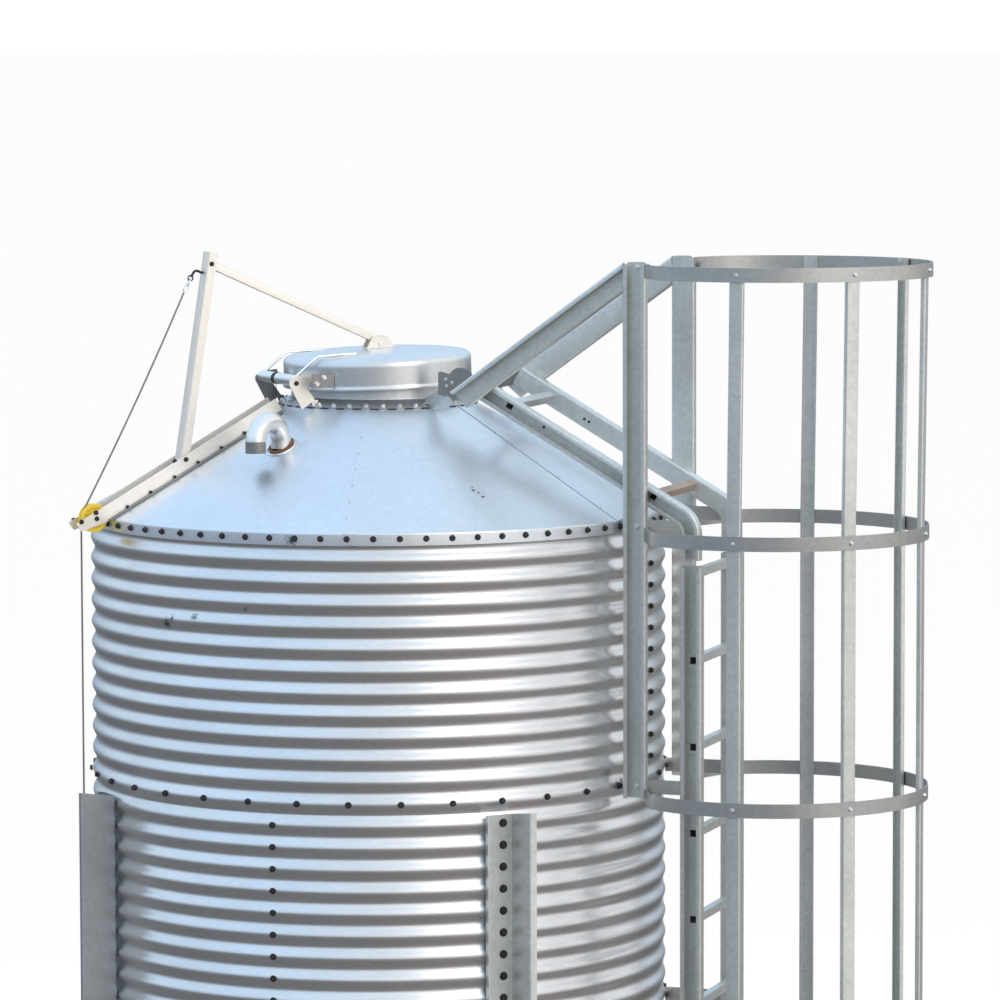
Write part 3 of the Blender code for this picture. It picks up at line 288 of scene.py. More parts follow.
# %% [markdown]
# ## Finishes
#
# Zinc sets in flakes, the spangle, a centimetre or so across. Each flake is a little lighter or duller than
# the next. A picture of such a sheet would repeat and stretch, so the flakes are the cells of a Voronoi
# texture in the object's own coordinates. A slow noise adds the cloudy stains of weather, and a fine one a
# bump that breaks up the reflections. The few scuffs of the real silo are dark spots at known places. One
# function makes all the metals from a few values.

# %% A metal with a grain
def metal(name, colour, rough, metallic=0.9, flake=0.012, flakes=0.10, stain=0.12, bump=0.03,
          stretch=(1, 1, 1), ripple=0.0, marks=()):
    made = bpy.data.materials.new(name)
    made.use_nodes = True
    tree = made.node_tree
    shader = tree.nodes["Principled BSDF"]
    shader.inputs["Metallic"].default_value = metallic
    place = put(tree, "ShaderNodeTexCoord")["Object"]
    spread = put(tree, "ShaderNodeMapping", {"Vector": place, "Scale": stretch})[0]
    cells = put(tree, "ShaderNodeTexVoronoi", {"Vector": spread, "Scale": 1 / flake})
    clouds = {"Vector": spread, "Scale": 2.3, "Detail": 5.0, "Roughness": 0.6}
    cloud = put(tree, "ShaderNodeTexNoise", clouds)[0]
    grey = put(tree, "ShaderNodeSeparateColor", {0: cells["Color"]})[0]
    level = calc(tree, "MULTIPLY_ADD", grey, flakes, 1.0 - flakes / 2)
    level = calc(tree, "MULTIPLY", level, between(tree, cloud, 0.35, 0.70, 1.0, 1.0 - stain))
    for spot, size in marks:
        away = put(tree, "ShaderNodeVectorMath", {0: place, 1: spot}, operation="DISTANCE")["Value"]
        ragged = calc(tree, "MULTIPLY_ADD", cells["Distance"], 0.02, away)
        faded = between(tree, ragged, 0.005 + size * 0.4, 0.005 + size, 0.22, 1.0)
        level = calc(tree, "MULTIPLY", level, faded)
    tint = put(tree, "ShaderNodeVectorMath", {0: colour, "Scale": level}, operation="SCALE")[0]
    tree.links.new(tint, shader.inputs["Base Color"])
    tree.links.new(calc(tree, "MULTIPLY_ADD", cloud, 0.10, rough - 0.05), shader.inputs["Roughness"])
    fine = put(tree, "ShaderNodeTexNoise", {"Vector": spread, "Scale": 90.0, "Detail": 3.0})[0]
    relief = {"Strength": bump, "Distance": 0.004, "Height": fine}
    if ripple:
        swell = put(tree, "ShaderNodeTexNoise", {"Vector": place, "Scale": 3.2, "Detail": 1.0})[0]
        wide = {"Strength": ripple, "Distance": 0.05, "Height": swell}
        relief["Normal"] = put(tree, "ShaderNodeBump", wide)[0]
    tree.links.new(put(tree, "ShaderNodeBump", relief)[0], shader.inputs["Normal"])
    return made


def on_roof(az, radius):
    return Upright(az).at(radius, 0, roof_z(radius))


def on_wall(az, z):
    return Upright(az).at(TANK_R, 0, z)


# %% The finishes by name
SCUFFS = [(on_roof(23.6, 0.716), 0.012), (on_roof(23.9, 0.730), 0.015), (on_roof(24.4, 0.745), 0.016),
          (on_roof(24.9, 0.760), 0.012), (on_roof(6.1, 0.525), 0.010),
          (Upright(-16.7).at(EAVE_R, 0, 3.756), 0.024)]
# Dark spots on the wall.
WALL_SPOTS = [(on_wall(-45.6, 3.478), 0.026), (on_wall(-44.0, 3.494), 0.018), (on_wall(-38.2, 3.506), 0.020),
         (on_wall(-26.5, 3.540), 0.012)]
FINISH = {
    "wall": metal("bright corrugated sheet", (0.75, 0.76, 0.78), 0.30, flakes=0.07, stain=0.10,
                  stretch=(1, 1, 3), marks=WALL_SPOTS),
    "roof": metal("bright roof sheet", (0.74, 0.78, 0.83), 0.36, flakes=0.06, stain=0.07, ripple=0.05,
                  marks=SCUFFS),
    "lid": metal("bright lid sheet", (0.74, 0.76, 0.78), 0.33, flakes=0.06, stain=0.08),
    "plate": metal("galvanised plate", (0.60, 0.62, 0.64), 0.42, stain=0.15),
    "channel": metal("galvanised channel", (0.74, 0.76, 0.74), 0.44, flakes=0.12, stain=0.18, bump=0.05),
    "strap": metal("galvanised strap", (0.56, 0.565, 0.55), 0.42, stain=0.15, bump=0.05),
    # A darker strap for hoops 2 to 4 than for the top hoop.
    "darker_strap": metal("darker strap", (0.50, 0.505, 0.50), 0.44, stain=0.18, bump=0.05),
    # A darker, bluer copy of the leg steel for legs 3 and 4: painted shade on the same metal as legs 1 and 2.
    "leg_painted_shade": metal("leg steel with painted shade", (0.44, 0.47, 0.50), 0.50, stain=0.18),
    # Dull grey for the lug, gusset discs, vent mouth and foot bolts; on the arms' feet and the far hinge
    # cheek it is painted shade.
    "dull_and_painted_shade": metal("dull grey plate and painted shade", (0.34, 0.34, 0.34), 0.55, stain=0.25),
    # Cream for the strut, link, clevis, arms and near hinge cheek: partly the zinc's own tint, partly painted
    # warm light.
    "cream": metal("cream zinc with painted warm light", (0.86, 0.82, 0.76), 0.42, metallic=0.75, flakes=0.05, stain=0.08),
    "zinc": metal("bright zinc fittings", (0.86, 0.86, 0.86), 0.30, flakes=0.03, stain=0.05),
    "bolt": metal("dark bolt heads and hole shade", (0.035, 0.035, 0.040), 0.48, metallic=0.5, flakes=0.03, stain=0.20),
    "rope": metal("steel wire", (0.40, 0.40, 0.38), 0.50, flakes=0.05, stain=0.30),
    "yellow": metal("yellow moulded wheel", (0.92, 0.66, 0.06), 0.45, metallic=0.0, flakes=0.02, stain=0.18),
    "black": metal("black rubber band and painted shadow", (0.02, 0.02, 0.02), 0.60, metallic=0.0, flakes=0.02, stain=0.10),
    "rust": metal("rusty clamp", (0.30, 0.13, 0.06), 0.75, metallic=0.2, flakes=0.15, stain=0.35, bump=0.3),
    "red_oxide": metal("oxide-stained rung", (0.45, 0.36, 0.31), 0.60, metallic=0.5, stain=0.35),
}
print("finishes:", len(FINISH))

# %% [markdown]
# ## From points to a finished piece
#
# Nearly all of the silo is sheet or strip that was bent once and has the same section all along. Such a
# shape is a section carried along a row of stations, where each station says where the section's two axes
# point. The same function turns a profile round the axis, runs a channel along the bent ladder rail, and
# makes a hoop. keep() then closes the work on each piece: faces outwards, a finish, and the body that it
# rides on.

# %% Sweep
def bridge(mesh_data, one, two):
    """Four-sided faces between two rings of points."""
    for i in range(len(one)):
        j = (i + 1) % len(one)
        mesh_data.faces.new((one[i], one[j], two[j], two[i]))


def loft(rings, closed=False, into=None):
    """Joins rings of points to a solid: round a loop if it is closed, or else with two end faces."""
    mesh_data = into or bmesh.new()
    rows = [[mesh_data.verts.new(point) for point in ring] for ring in rings]
    for one, two in zip(rows, rows[1:] + rows[:1] if closed else rows[1:]):
        bridge(mesh_data, one, two)
    if not closed:
        mesh_data.faces.new(rows[0])
        mesh_data.faces.new(rows[-1][::-1])
    return mesh_data


def placed(stations, section):
    return [[origin + first * u + second * v for u, v in section] for origin, first, second in stations]


def sweep(stations, section, closed=False, into=None):
    return loft(placed(stations, section), closed, into)


def hollow(stations, outer, inner, into=None):
    """A pipe with a wall and open ends, from its outer and its inner section."""
    mesh_data = into or bmesh.new()
    skins = [[[mesh_data.verts.new(point) for point in ring] for ring in placed(stations, section)]
             for section in (outer, inner)]
    for rings in skins:
        for one, two in zip(rings, rings[1:]):
            bridge(mesh_data, one, two)
    for end in (0, -1):
        bridge(mesh_data, skins[0][end], skins[1][end])
    return mesh_data


# %% Keep
def keep(name, mesh_data, finish, body="silo", replaced=(), smooth=35.0):
    """Makes the object. Edges sharper than the given angle stay sharp."""
    bmesh.ops.recalc_face_normals(mesh_data, faces=mesh_data.faces)
    mesh = bpy.data.meshes.new(name)
    mesh_data.to_mesh(mesh)
    mesh_data.free()
    piece = add_object(name, mesh)
    mesh.materials.append(FINISH[finish])
    mesh.shade_smooth()
    mesh.set_sharp_from_angle(angle=radians(smooth))
    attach(piece, body)
    if replaced:
        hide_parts(*replaced)
    return piece


# %% [markdown]
# ## Sections and arcs
#
# A few small outlines come back everywhere: a circle, a rectangle, an arc. With them, a turned ring or a
# flat bar takes one line.

# %% Small outlines
def circle(radius, sides):
    return [(radius * cos(2 * pi * i / sides), radius * sin(2 * pi * i / sides)) for i in range(sides)]


def rectangle(u0, u1, v0, v1):
    return [(u0, v0), (u1, v0), (u1, v1), (u0, v1)]


def arc(u, v, radius, start, end, steps):
    """Points on an arc, by its centre, its radius and two angles in degrees."""
    turns = [radians(start + (end - start) * i / steps) for i in range(steps + 1)]
    return [(u + radius * cos(t), v + radius * sin(t)) for t in turns]


def turned(outline, steps, start=0.0, end=360.0, into=None):
    """Turns a closed outline of (radius, z) round the tank's axis."""
    around = end - start >= 359.9
    planes = [Upright(start + (end - start) * i / steps) for i in range(steps if around else steps + 1)]
    return sweep([(plane.at(0, 0, 0), plane.out, plane.up) for plane in planes], outline, around, into)


def bar(plane, outline, side0, side1, into=None):
    """A plate or bar whose outline of (out, z) lies in the upright plane."""
    return sweep([(plane.at(0, s, 0), plane.out, plane.up) for s in (side0, side1)], outline, into=into)


def lapped(name, section, first, turns, lift, finish, replaced, smooth):
    """A section turned about the axis. Its first stretch is lifted by (out, up) over the next sheet."""
    stations = []
    for turn in turns:
        plane = Upright(first + turn)
        out, up = lift if turn < 0.5 else (0.0, 0.0)
        stations.append((plane.at(out, 0, up), plane.out, plane.up))
    return keep(name, sweep(stations, section), finish, replaced=[replaced], smooth=smooth)


# %% [markdown]
# ## Bent strip
#
# Channels, angles and rails are strip that went through a press brake, so their corners are round outside
# and inside, and that soft corner is what catches the light along every edge. Drawing both sides of the
# strip by hand is slow and uneven. It is simpler to draw the middle line, round its corners, and step half
# the thickness to each side.

# %% Rounded paths and bent strips
def rounded(path, radius, steps=4):
    """The same path with each inner corner made an arc."""
    done = [Vector(path[0])]
    for before, here, after in zip(path, path[1:], path[2:]):
        before, here, after = Vector(before), Vector(here), Vector(after)
        back, ahead = (before - here), (after - here)
        half = back.angle(ahead) / 2
        reach = min(radius / tan(half), back.length * 0.49, ahead.length * 0.49)
        first, last = here + back.normalized() * reach, here + ahead.normalized() * reach
        for i in range(steps + 1):
            t = i / steps
            done.append(first.lerp(here, t).lerp(here.lerp(last, t), t))
    done.append(Vector(path[-1]))
    return done


def bent_strip(path, thick, bend=0.005, steps=4):
    """The closed section of a strip whose middle line is the given path of (u, v)."""
    line = rounded(path, bend, steps)
    left, right = [], []
    for i, point in enumerate(line):
        along = (line[min(i + 1, len(line) - 1)] - line[max(i - 1, 0)]).normalized()
        normal = Vector((-along.y, along.x)) * thick / 2
        left.append(tuple(point + normal))
        right.append(tuple(point - normal))
    return left + right[::-1]


def lipped(width, flange):
    """A channel with its flanges along the second axis, whose edges are bent in to stiffen it."""
    edge = width / 2 - GAUGE / 2
    half = [(edge, 0), (edge, flange), (edge - LIP, flange)]
    return bent_strip([(-u, v) for u, v in half[::-1]] + half, GAUGE)


def u_channel(depth, back, half, thick, bend):
    """A small channel that opens towards -u."""
    return bent_strip([(-depth, half), (back, half), (back, -half), (-depth, -half)], thick, bend)


# %% Along a path
def along_path(points, up):
    """Stations whose first axis is level and square to the path, with corners mitred."""
    stations = []
    for i, point in enumerate(points):
        back = (point - points[i - 1]) if i else (points[1] - point)
        ahead = (points[i + 1] - point) if i < len(points) - 1 else back
        along = (back.normalized() + ahead.normalized()).normalized()
        normal = along.cross(up).normalized()
        stations.append((point, normal / max(along.dot(ahead.normalized()), 0.4), up))
    return stations


def tube(points, radius, normal, sides=12, wall=0.0, into=None):
    """A round bar along points in a plane with that normal, or a pipe if it has a wall."""
    stations = []
    for i, point in enumerate(points):
        along = (points[min(i + 1, len(points) - 1)] - points[max(i - 1, 0)]).normalized()
        stations.append((point, normal, normal.cross(along).normalized()))
    if wall:
        return hollow(stations, circle(radius, sides), circle(radius - wall, sides), into)
    return sweep(stations, circle(radius, sides), into=into)


def cut(piece, boxes):
    """Cuts closed boxes out of a piece and keeps the result as its plain mesh."""
    tool = bpy.data.meshes.new("tool")
    bmesh.ops.recalc_face_normals(boxes, faces=boxes.faces)
    boxes.to_mesh(tool)
    boxes.free()
    holder = add_object("tool", tool)
    step = piece.modifiers.new("cut", "BOOLEAN")
    step.operation = "DIFFERENCE"
    step.solver = "EXACT"
    step.object = holder
    result = bpy.data.meshes.new_from_object(piece.evaluated_get(depsgraph()))
    piece.modifiers.clear()
    piece.data = result
    bpy.data.objects.remove(holder)
    result.shade_smooth()
    result.set_sharp_from_angle(angle=radians(30))


# %% [markdown]
# ## Corrugated rings
#
# The wall is thin sheet, rolled into waves of 68 mm and then bent to the tank's radius. A displaced cylinder
# would give the waves, but not the sheet's edges. Here the section is the wavy sheet itself, up on its outer
# side and down on its inner one, and it is turned round the axis. Where a sheet laps over its neighbour it
# rises by its own thickness, which draws the thin upright line that real seams have.

# %% Corrugated sheets
SHEET, ROWS_A_WAVE = 0.0014, 12
WALL_TURNS = [-2.4, -2.35] + [2.25 * i for i in range(1, 81)]


def corrugated_sheet(name, first, z0, z1, tuck_z, replaced):
    """Above the tuck the sheet lies a thickness further in, behind the ring above."""
    rows = int(ceil((z1 - z0) / PITCH * ROWS_A_WAVE))
    outer, inner = [], []
    for i in range(rows + 1):
        z = z0 + (z1 - z0) * i / rows
        radius = TANK_R - SHEET + (WAVE - 0.0003) * cos(2 * pi * (z - RING_SEAM_Z) / PITCH)
        if z > tuck_z:
            radius -= SHEET
        outer.append((radius, z))
        inner.append((radius - SHEET, z))
    return lapped(name, outer + inner[::-1], first, WALL_TURNS, (SHEET, 0.0), "wall", replaced, 60)


for number in (1, 2):
    half_turn = 180 * (number - 1)
    corrugated_sheet(f"upper_sheet_{number}", UPPER_SEAM + half_turn, RING_SEAM_Z - PITCH / 2, EAVE_BOLT_Z,
                     EAVE_Z, f"upper_wall_{number}")
    piece = corrugated_sheet(f"lower_sheet_{number}", LOWER_SEAM + half_turn, HOPPER_SEAM_Z,
                             RING_SEAM_Z - PITCH * 0.25, RING_SEAM_Z - PITCH * 0.55, f"lower_wall_{number}")
print("faces in one wall sheet:", len(piece.data.polygons))

# %% [markdown]
# ## Roof panels
#
# Six flat sheets, bent over a cone, make the roof. Each laps over the next and ends in a skirt that is
# bolted through the top of the wall. The panels are swept round the axis in small steps, with a round fold
# at the eave, and lifted along the lapped edge, so that the seam shows as a fine line.

# %% Roof
path = [(0.268, roof_z(0.268)), (EAVE_R - 0.0008, roof_z(EAVE_R)), (EAVE_R - 0.0008, SKIRT_Z + 0.0005)]
section = bent_strip(path, 0.0012, bend=0.007, steps=5)
turns = [-0.9, -0.85] + [2.5 * i for i in range(25)]
for number, seam in enumerate(ROOF_SEAMS, start=1):
    lapped(f"roof_sheet_{number}", section, seam, turns, (0.0, 0.0022), "roof", f"roof_panel_{number}", 50)

# %% [markdown]
# ## Collar and lid
#
# The fill opening is a short ring with a bolted foot, and black strips under the foot's edge are painted
# shadow. The lid is a spun dish whose skirt reaches down over it, with a bead along its lower edge. Both
# are round, so both are profiles turned round the axis. The lid rests two degrees open, as it does in the
# photograph, so its mesh is tilted about the hinge.

# %% Collar, lid and its tilt
def tilt(mesh_data):
    centre = LINK.at(HINGE[0], 0, HINGE[1])
    opened = Matrix.Rotation(radians(2.0), 4, LINK.side)
    move = Matrix.Translation(centre) @ opened @ Matrix.Translation(-centre)
    bmesh.ops.transform(mesh_data, matrix=move, verts=mesh_data.verts)
    return mesh_data


section = bent_strip([(0.3175, roof_z(0.3175) + 0.0035), (0.2745, roof_z(0.2745) + 0.0035), (0.2745, 4.2355)],
                     0.003, bend=0.008)
keep("collar_ring", turned(section, 108), "plate", replaced=["hatch_collar"], smooth=50)
# Black strips under the edge of the collar's foot: painted shadow.
foot_shadow = bmesh.new()
section = [(radius, roof_z(radius) + lift)
           for radius, lift in ((0.3120, -0.0010), (0.3198, -0.0010), (0.3198, 0.0026), (0.3120, 0.0026))]
for i in range(36):
    turned(section, 3, 5.4 + 10 * i, 10.6 + 10 * i, into=foot_shadow)
keep("collar_foot_shadow", foot_shadow, "black")

crown = [(0.0, 4.2750), (0.10, 4.2740), (0.20, 4.2700), (0.25, 4.2655), (0.2750, 4.2615), (0.2880, 4.2575),
         (0.2950, 4.2525), (0.2985, 4.2460), (0.3000, 4.2380), (0.3000, 4.2330)]
bead = [(0.3000, 4.1800), (0.3000, 4.1760), (0.3006, 4.1728), (0.3026, 4.1705), (0.3038, 4.1675),
        (0.3034, 4.1642), (0.3012, 4.1622), (0.2985, 4.1626), (0.2972, 4.1660)]
under = [(0.2972, 4.2380), (0.2962, 4.2440), (0.2930, 4.2495), (0.2870, 4.2540), (0.2740, 4.2580),
         (0.25, 4.2620), (0.20, 4.2665), (0.10, 4.2708), (0.0, 4.2718)]
dish = turned(crown + bead + under, 120)
bmesh.ops.remove_doubles(dish, verts=dish.verts, dist=1e-5)
bmesh.ops.dissolve_degenerate(dish, edges=dish.edges, dist=1e-6)
lid = keep("lid_dish", tilt(dish), "lid", "hatch_lid", ["lid"], smooth=40)
print("lid faces:", len(lid.data.polygons))

# %% [markdown]
# ## The lid's hinge
#
# A tube lies along the collar between two plates. Two bent rods are welded on the tube and lie on the lid.
# Rods follow a path, so each is a circle swept along a rounded line.

# %% Hinge tube, rods, band and lug
centre = LINK.at(HINGE[0], 0, HINGE[1])
hinge = bmesh.new()
for s in (0.128, -0.128):
    path = [(HINGE[0] - 0.0060, HINGE[1] + 0.0146), (0.262, 4.2713), (0.130, 4.2725)]
    tube(rounded([LINK.at(out, s, z) for out, z in path], 0.030, 6), 0.0040, LINK.side, into=hinge)
tilt(hinge)
ends = [centre + LINK.side * s for s in (-0.1352, -0.1340, 0.1340, 0.1352)]
tube(ends, 0.0180, LINK.up, 32, wall=0.0042, into=hinge)
keep("hinge_tube_and_rods", hinge, "zinc", "hatch_lid", ["lid_hinge_tube"])
band = tube([centre + LINK.side * s for s in (-0.0245, -0.0020)], 0.0190, LINK.up, 32, wall=0.0010)
for s in (-0.0245, -0.0045):
    line = [LINK.at(HINGE[0] + 0.0090, s, HINGE[1] - z) for z in (0.0145, 0.030, 0.045, 0.066)]
    tube(line, 0.0012, LINK.side, 8, into=band)
keep("tube_band", band, "black", "hatch_lid")
keep("lid_lug", bar(LINK, rectangle(0.2345, 0.310, 4.178, 4.223), 0.188, 0.1915), "dull_and_painted_shade", "hatch_lid")

# %% [markdown]
# ## The opener
#
# Two angles run down the roof seam and carry everything: the strut stands on a pin between them, the yellow
# wheel turns at their end. An angle is two plates here, an upright web and a foot on the roof, because the
# web's outline widens round the wheel. The strut and the link are light channels of bent strip, laid along
# the line between two pins.

# %% Opener arms
slope = atan2(-ROOF_RISE, 1.0)
off_roof = LINK.up * cos(slope) - LINK.out * sin(slope)


def on_arm(out, height):
    """A place at that height square above the roof's seam."""
    return out - height * sin(slope), roof_z(out) + height * cos(slope)


web = [on_arm(0.345, 0.0008), on_arm(0.935, 0.0008), on_arm(1.0175, 0.0185), on_arm(1.0205, 0.0485),
       on_arm(0.345, 0.0485)]
for label, sign in (("near", 1), ("far", -1)):
    side = bar(LINK, web, sign * 0.0311, sign * 0.0349)
    keep(f"arm_web_{label}", side, "cream", replaced=[f"roof_arm_{label}"])
    stations = [(LINK.at(out, 0, roof_z(out)), LINK.side, off_roof) for out in (0.347, 0.933)]
    # The foot strip is dull grey as painted shade: it stands for the shadow gap under the arm's face.
    foot = sweep(stations, rectangle(sign * 0.0330, sign * 0.0468, 0.0006, 0.0062))
    keep(f"arm_foot_{label}", foot, "dull_and_painted_shade")

# %% Strut, link and clevis
foot = LINK.at(STRUT_PIVOT[0], 0, STRUT_PIVOT[1])
pin = LINK.at(LINK_PIN[0], 0, LINK_PIN[1])
end = LINK.at(CLEVIS_PIN[0], 0, CLEVIS_PIN[1])


def straight_channel(start, toward, first, last, upper, section):
    """A channel along the line between two places. Its back looks to the given side."""
    along = (toward - start).normalized()
    off = LINK.side.cross(along).normalized()
    if off.dot(upper) < 0:
        off = -off
    return sweep([(start + along * d, off, LINK.side) for d in (first, last)], section)


strut = straight_channel(foot, pin, -0.012, 0.655, LINK.out, u_channel(0.015, 0.0135, 0.024, 0.003, 0.005))
keep("strut_channel", strut, "cream", "opener_strut", ["strut"])
link = straight_channel(pin, end, -0.0065, (end - pin).length + 0.004, LINK.up,
                        u_channel(0.012, 0.0105, 0.0105, 0.003, 0.004))
keep("link_channel", link, "cream", "opener_link", ["link"])

foot_z, top_z, plate = 4.2753, CLEVIS_PIN[1], 0.003
section = [(-0.0205, foot_z), (0.0205, foot_z), (0.0205, top_z), (0.0175, top_z), (0.0175, foot_z + plate),
           (-0.0175, foot_z + plate), (-0.0175, top_z), (-0.0205, top_z)]
rings = []
for wide, narrow in ((0.044, 0.022), (-0.052, -0.032)):
    taper = (narrow - wide) / (top_z - foot_z)
    rings.append([LINK.at(wide + taper * (z - foot_z), s, z) for s, z in section])
keep("clevis_bracket", tilt(loft(rings)), "cream", "hatch_lid", ["lid_clevis"])

# %% [markdown]
# ## Hinge plates and gussets
#
# Flat plates are cut from an outline. The outline is the solid's own, so the plate lies exactly where it
# should. A folded strap has no plane of its own axes, so its corners are stepped by a thickness instead.

# %% Hinge plates
feet = [(out, roof_z(hypot(out, 0.1395)) + 0.0058) for out in (0.2680, 0.2850)]
outline = [(0.3234, 4.1091), (0.3655, 4.1876), (0.3654, 4.2002), (0.3466, 4.2153), (0.2919, 4.2209),
           (0.2852, 4.2009), (0.3080, 4.1765), (0.2923, 4.1570), (0.2787, 4.1376), (0.2680, 4.1376)]
# Both cheeks are the same plate. The far one's dull grey is painted shade, and the near one's cream is partly
# painted warm light.
for label, sign, finish in (("near", 1, "cream"), ("far", -1, "dull_and_painted_shade")):
    cheek = bar(LINK, outline + feet + [(0.2900, 4.1304)], sign * 0.1361, sign * 0.1399)
    keep(f"hinge_cheek_{label}", cheek, finish, replaced=[f"hinge_plate_{label}"])

# %% Gussets
head = [(0.3313, 4.150), (0.2915, 4.160), (0.2915, 4.229), (0.300, 4.232), (0.3294, 4.2243)]
head += arc(0.3662, 4.203, 0.0423, 150, -30, 24) + [(0.370, 4.160)]
strap = [(0.2238, 0.1900, 4.1418), (0.2878, 0.2343, 4.1711), (0.3313, 0.2547, 4.1513),
         (0.3416, 0.2561, 4.1328), (0.3170, 0.2380, 4.1169), (0.2619, 0.2040, 4.1088)]
for label, sign in (("near", -1), ("far", 1)):
    disc = bar(LADDER, head, sign * (POST_SIDE - 0.0005), sign * (POST_SIDE - 0.0040))
    keep(f"gusset_disc_{label}", disc, "dull_and_painted_shade", replaced=[f"gusset_{label}"])
    corners = [LADDER.at(out, sign * side, z) for out, side, z in strap]
    inwards = (corners[5] - corners[0]).cross(corners[2] - corners[0]).normalized()
    if inwards.dot(LADDER.side) * sign > 0:
        inwards = -inwards
    folded = loft([[corner + inwards * depth for corner in corners] for depth in (0.0002, 0.0038)])
    stations = [(LADDER.at(0, sign * side, roof_z(hypot(0.225, side)) + 0.0045), LADDER.out, LADDER.up)
                for side in (0.176, 0.200)]
    sweep(stations, rectangle(0.226, 0.260, 0.0, 0.0045), into=folded)
    keep(f"gusset_strap_{label}", folded, "channel")

# %% [markdown]
# ## The wheel
#
# A moulded wheel has a deep rope groove, a thick rim, a thin web and a hub. Its profile is turned about its
# own axle, and short ribs stiffen the web on both sides.

# %% Pulley
def in_link_plane(turn):
    """The direction at that angle in the link's upright plane, from out towards up."""
    return LINK.out * cos(turn) + LINK.up * sin(turn)


hub = LINK.at(PULLEY[0], 0, PULLEY[1])
flank = [(0.0055, 0.012), (0.012, 0.012), (0.014, 0.0095), (0.030, 0.0085), (0.034, 0.012), (0.0430, 0.012),
         (0.0450, 0.0105), (0.0445, 0.0085), (0.0365, 0.0042)]
profile = [(radius, -side) for radius, side in flank] + [(0.0345, 0.0)] + flank[::-1]
stations = [(hub, in_link_plane(2 * pi * i / 72), LINK.side) for i in range(72)]
wheel = sweep(stations, profile, closed=True)
for i in range(12):
    spoke, square = in_link_plane(2 * pi * i / 12), in_link_plane(2 * pi * i / 12 + pi / 2)
    for side in (-0.0100, 0.0100):
        sweep([(hub + spoke * r, square, LINK.side) for r in (0.0125, 0.0345)],
              rectangle(-0.0013, 0.0013, side - 0.0018, side + 0.0018), into=wheel)
keep("rope_wheel", wheel, "yellow", "pulley_wheel", ["pulley"])

# %% [markdown]
# ## Trees
#
# Two things on the silo are made by a rule and not by hand: the rope's strands and the bolts. Each is a
# Geometry Nodes tree. Its inputs are set by their identifiers, before Blender first works the modifier out.
# The result is then taken as a plain mesh and the modifier goes away, so the piece holds real faces and
# nothing live.

# %% Make and run a tree
def group(name, inputs):
    """A new tree, and the sockets of its inputs."""
    tree = bpy.data.node_groups.new(name, "GeometryNodeTree")
    tree.interface.new_socket("Geometry", in_out="INPUT", socket_type="NodeSocketGeometry")
    for label, kind, value in inputs:
        socket = tree.interface.new_socket(label, in_out="INPUT", socket_type="NodeSocket" + kind)
        if value is not None:
            socket.default_value = value
    tree.interface.new_socket("Geometry", in_out="OUTPUT", socket_type="NodeSocketGeometry")
    return tree, put(tree, "NodeGroupInput")


def give_back(tree, given, geometry):
    """Ends a tree: real faces with the finish that was given."""
    real = put(tree, "GeometryNodeRealizeInstances", {0: geometry})[0]
    coat = put(tree, "GeometryNodeSetMaterial", {"Geometry": real, "Material": given["Finish"]})[0]
    put(tree, "NodeGroupOutput", {0: coat})


def run_tree(name, data, tree, values):
    """The tree's result on that mesh or curve, as an object with plain faces."""
    host = add_object(name, data)
    step = host.modifiers.new(tree.name, "NODES")
    step.node_group = tree
    for socket in tree.interface.items_tree:
        if socket.in_out == "INPUT" and socket.name in values:
            step[socket.identifier] = values[socket.name]
    mesh = bpy.data.meshes.new_from_object(host.evaluated_get(depsgraph()))
    bpy.data.objects.remove(host)
    mesh.name = name
    return add_object(name, mesh)


# %% [markdown]
# ## Wire rope
#
# Six strands wind round each other, one turn in about four centimetres. Modelling six helixes by hand would
# mean a lot of sine and cosine. The tree does it with one idea: take the rope's middle line, twist it evenly
# along its length, and sweep a ring of six small circles along it. The twist turns the ring as it goes, and
# each circle becomes a strand. The tree's inputs are the rope's own sizes.

# %% Rope tree
rope_tree, given = group("twisted rope", [
    ("Rope radius", "Float", ROPE_R), ("Lay length", "Float", 0.042), ("Step", "Float", 0.005),
    ("Strands", "Int", 6), ("Finish", "Material", None)])
evenly = {"Curve": given["Geometry"], "Length": given["Step"]}
even = put(rope_tree, "GeometryNodeResampleCurve", evenly, mode="LENGTH")[0]
way = put(rope_tree, "GeometryNodeSplineParameter")["Length"]
angle = calc(rope_tree, "MULTIPLY", calc(rope_tree, "DIVIDE", way, given["Lay length"]), 2 * pi)
twist = put(rope_tree, "GeometryNodeSetCurveTilt", {"Curve": even, "Tilt": angle})[0]
rings = []
for resolution, share in ((given["Strands"], 0.64), (6, 0.36)):
    radius = calc(rope_tree, "MULTIPLY", given["Rope radius"], share)
    shape = {"Resolution": resolution, "Radius": radius}
    rings.append(put(rope_tree, "GeometryNodeCurvePrimitiveCircle", shape)[0])
spots = put(rope_tree, "GeometryNodeInstanceOnPoints", {"Points": rings[0], "Instance": rings[1]})[0]
real = put(rope_tree, "GeometryNodeRealizeInstances", {0: spots})[0]
strands = {"Fill Caps": True, "Curve": twist, "Profile Curve": real}
give_back(rope_tree, given, put(rope_tree, "GeometryNodeCurveToMesh", strands)[0])

# %% [markdown]
# ## The rope's way
#
# The taut run goes from the chain on the strut to the wheel, which it touches like a tangent. It hangs
# through by 7 mm. When the lid opens, the strut's top comes nearer. The tail goes over the wheel and down
# beside the leg.

# %% Run and tail
def rope(name, points, body, replaced):
    curve = bpy.data.curves.new(name, "CURVE")
    curve.dimensions = "3D"
    spline = curve.splines.new("POLY")
    spline.points.add(len(points) - 1)
    for slot, point in zip(spline.points, points):
        slot.co = (*point, 1.0)
    piece = run_tree(name, curve, rope_tree, {"Finish": FINISH["rope"]})
    piece.data.shade_smooth()
    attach(piece, body)
    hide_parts(replaced)
    return piece


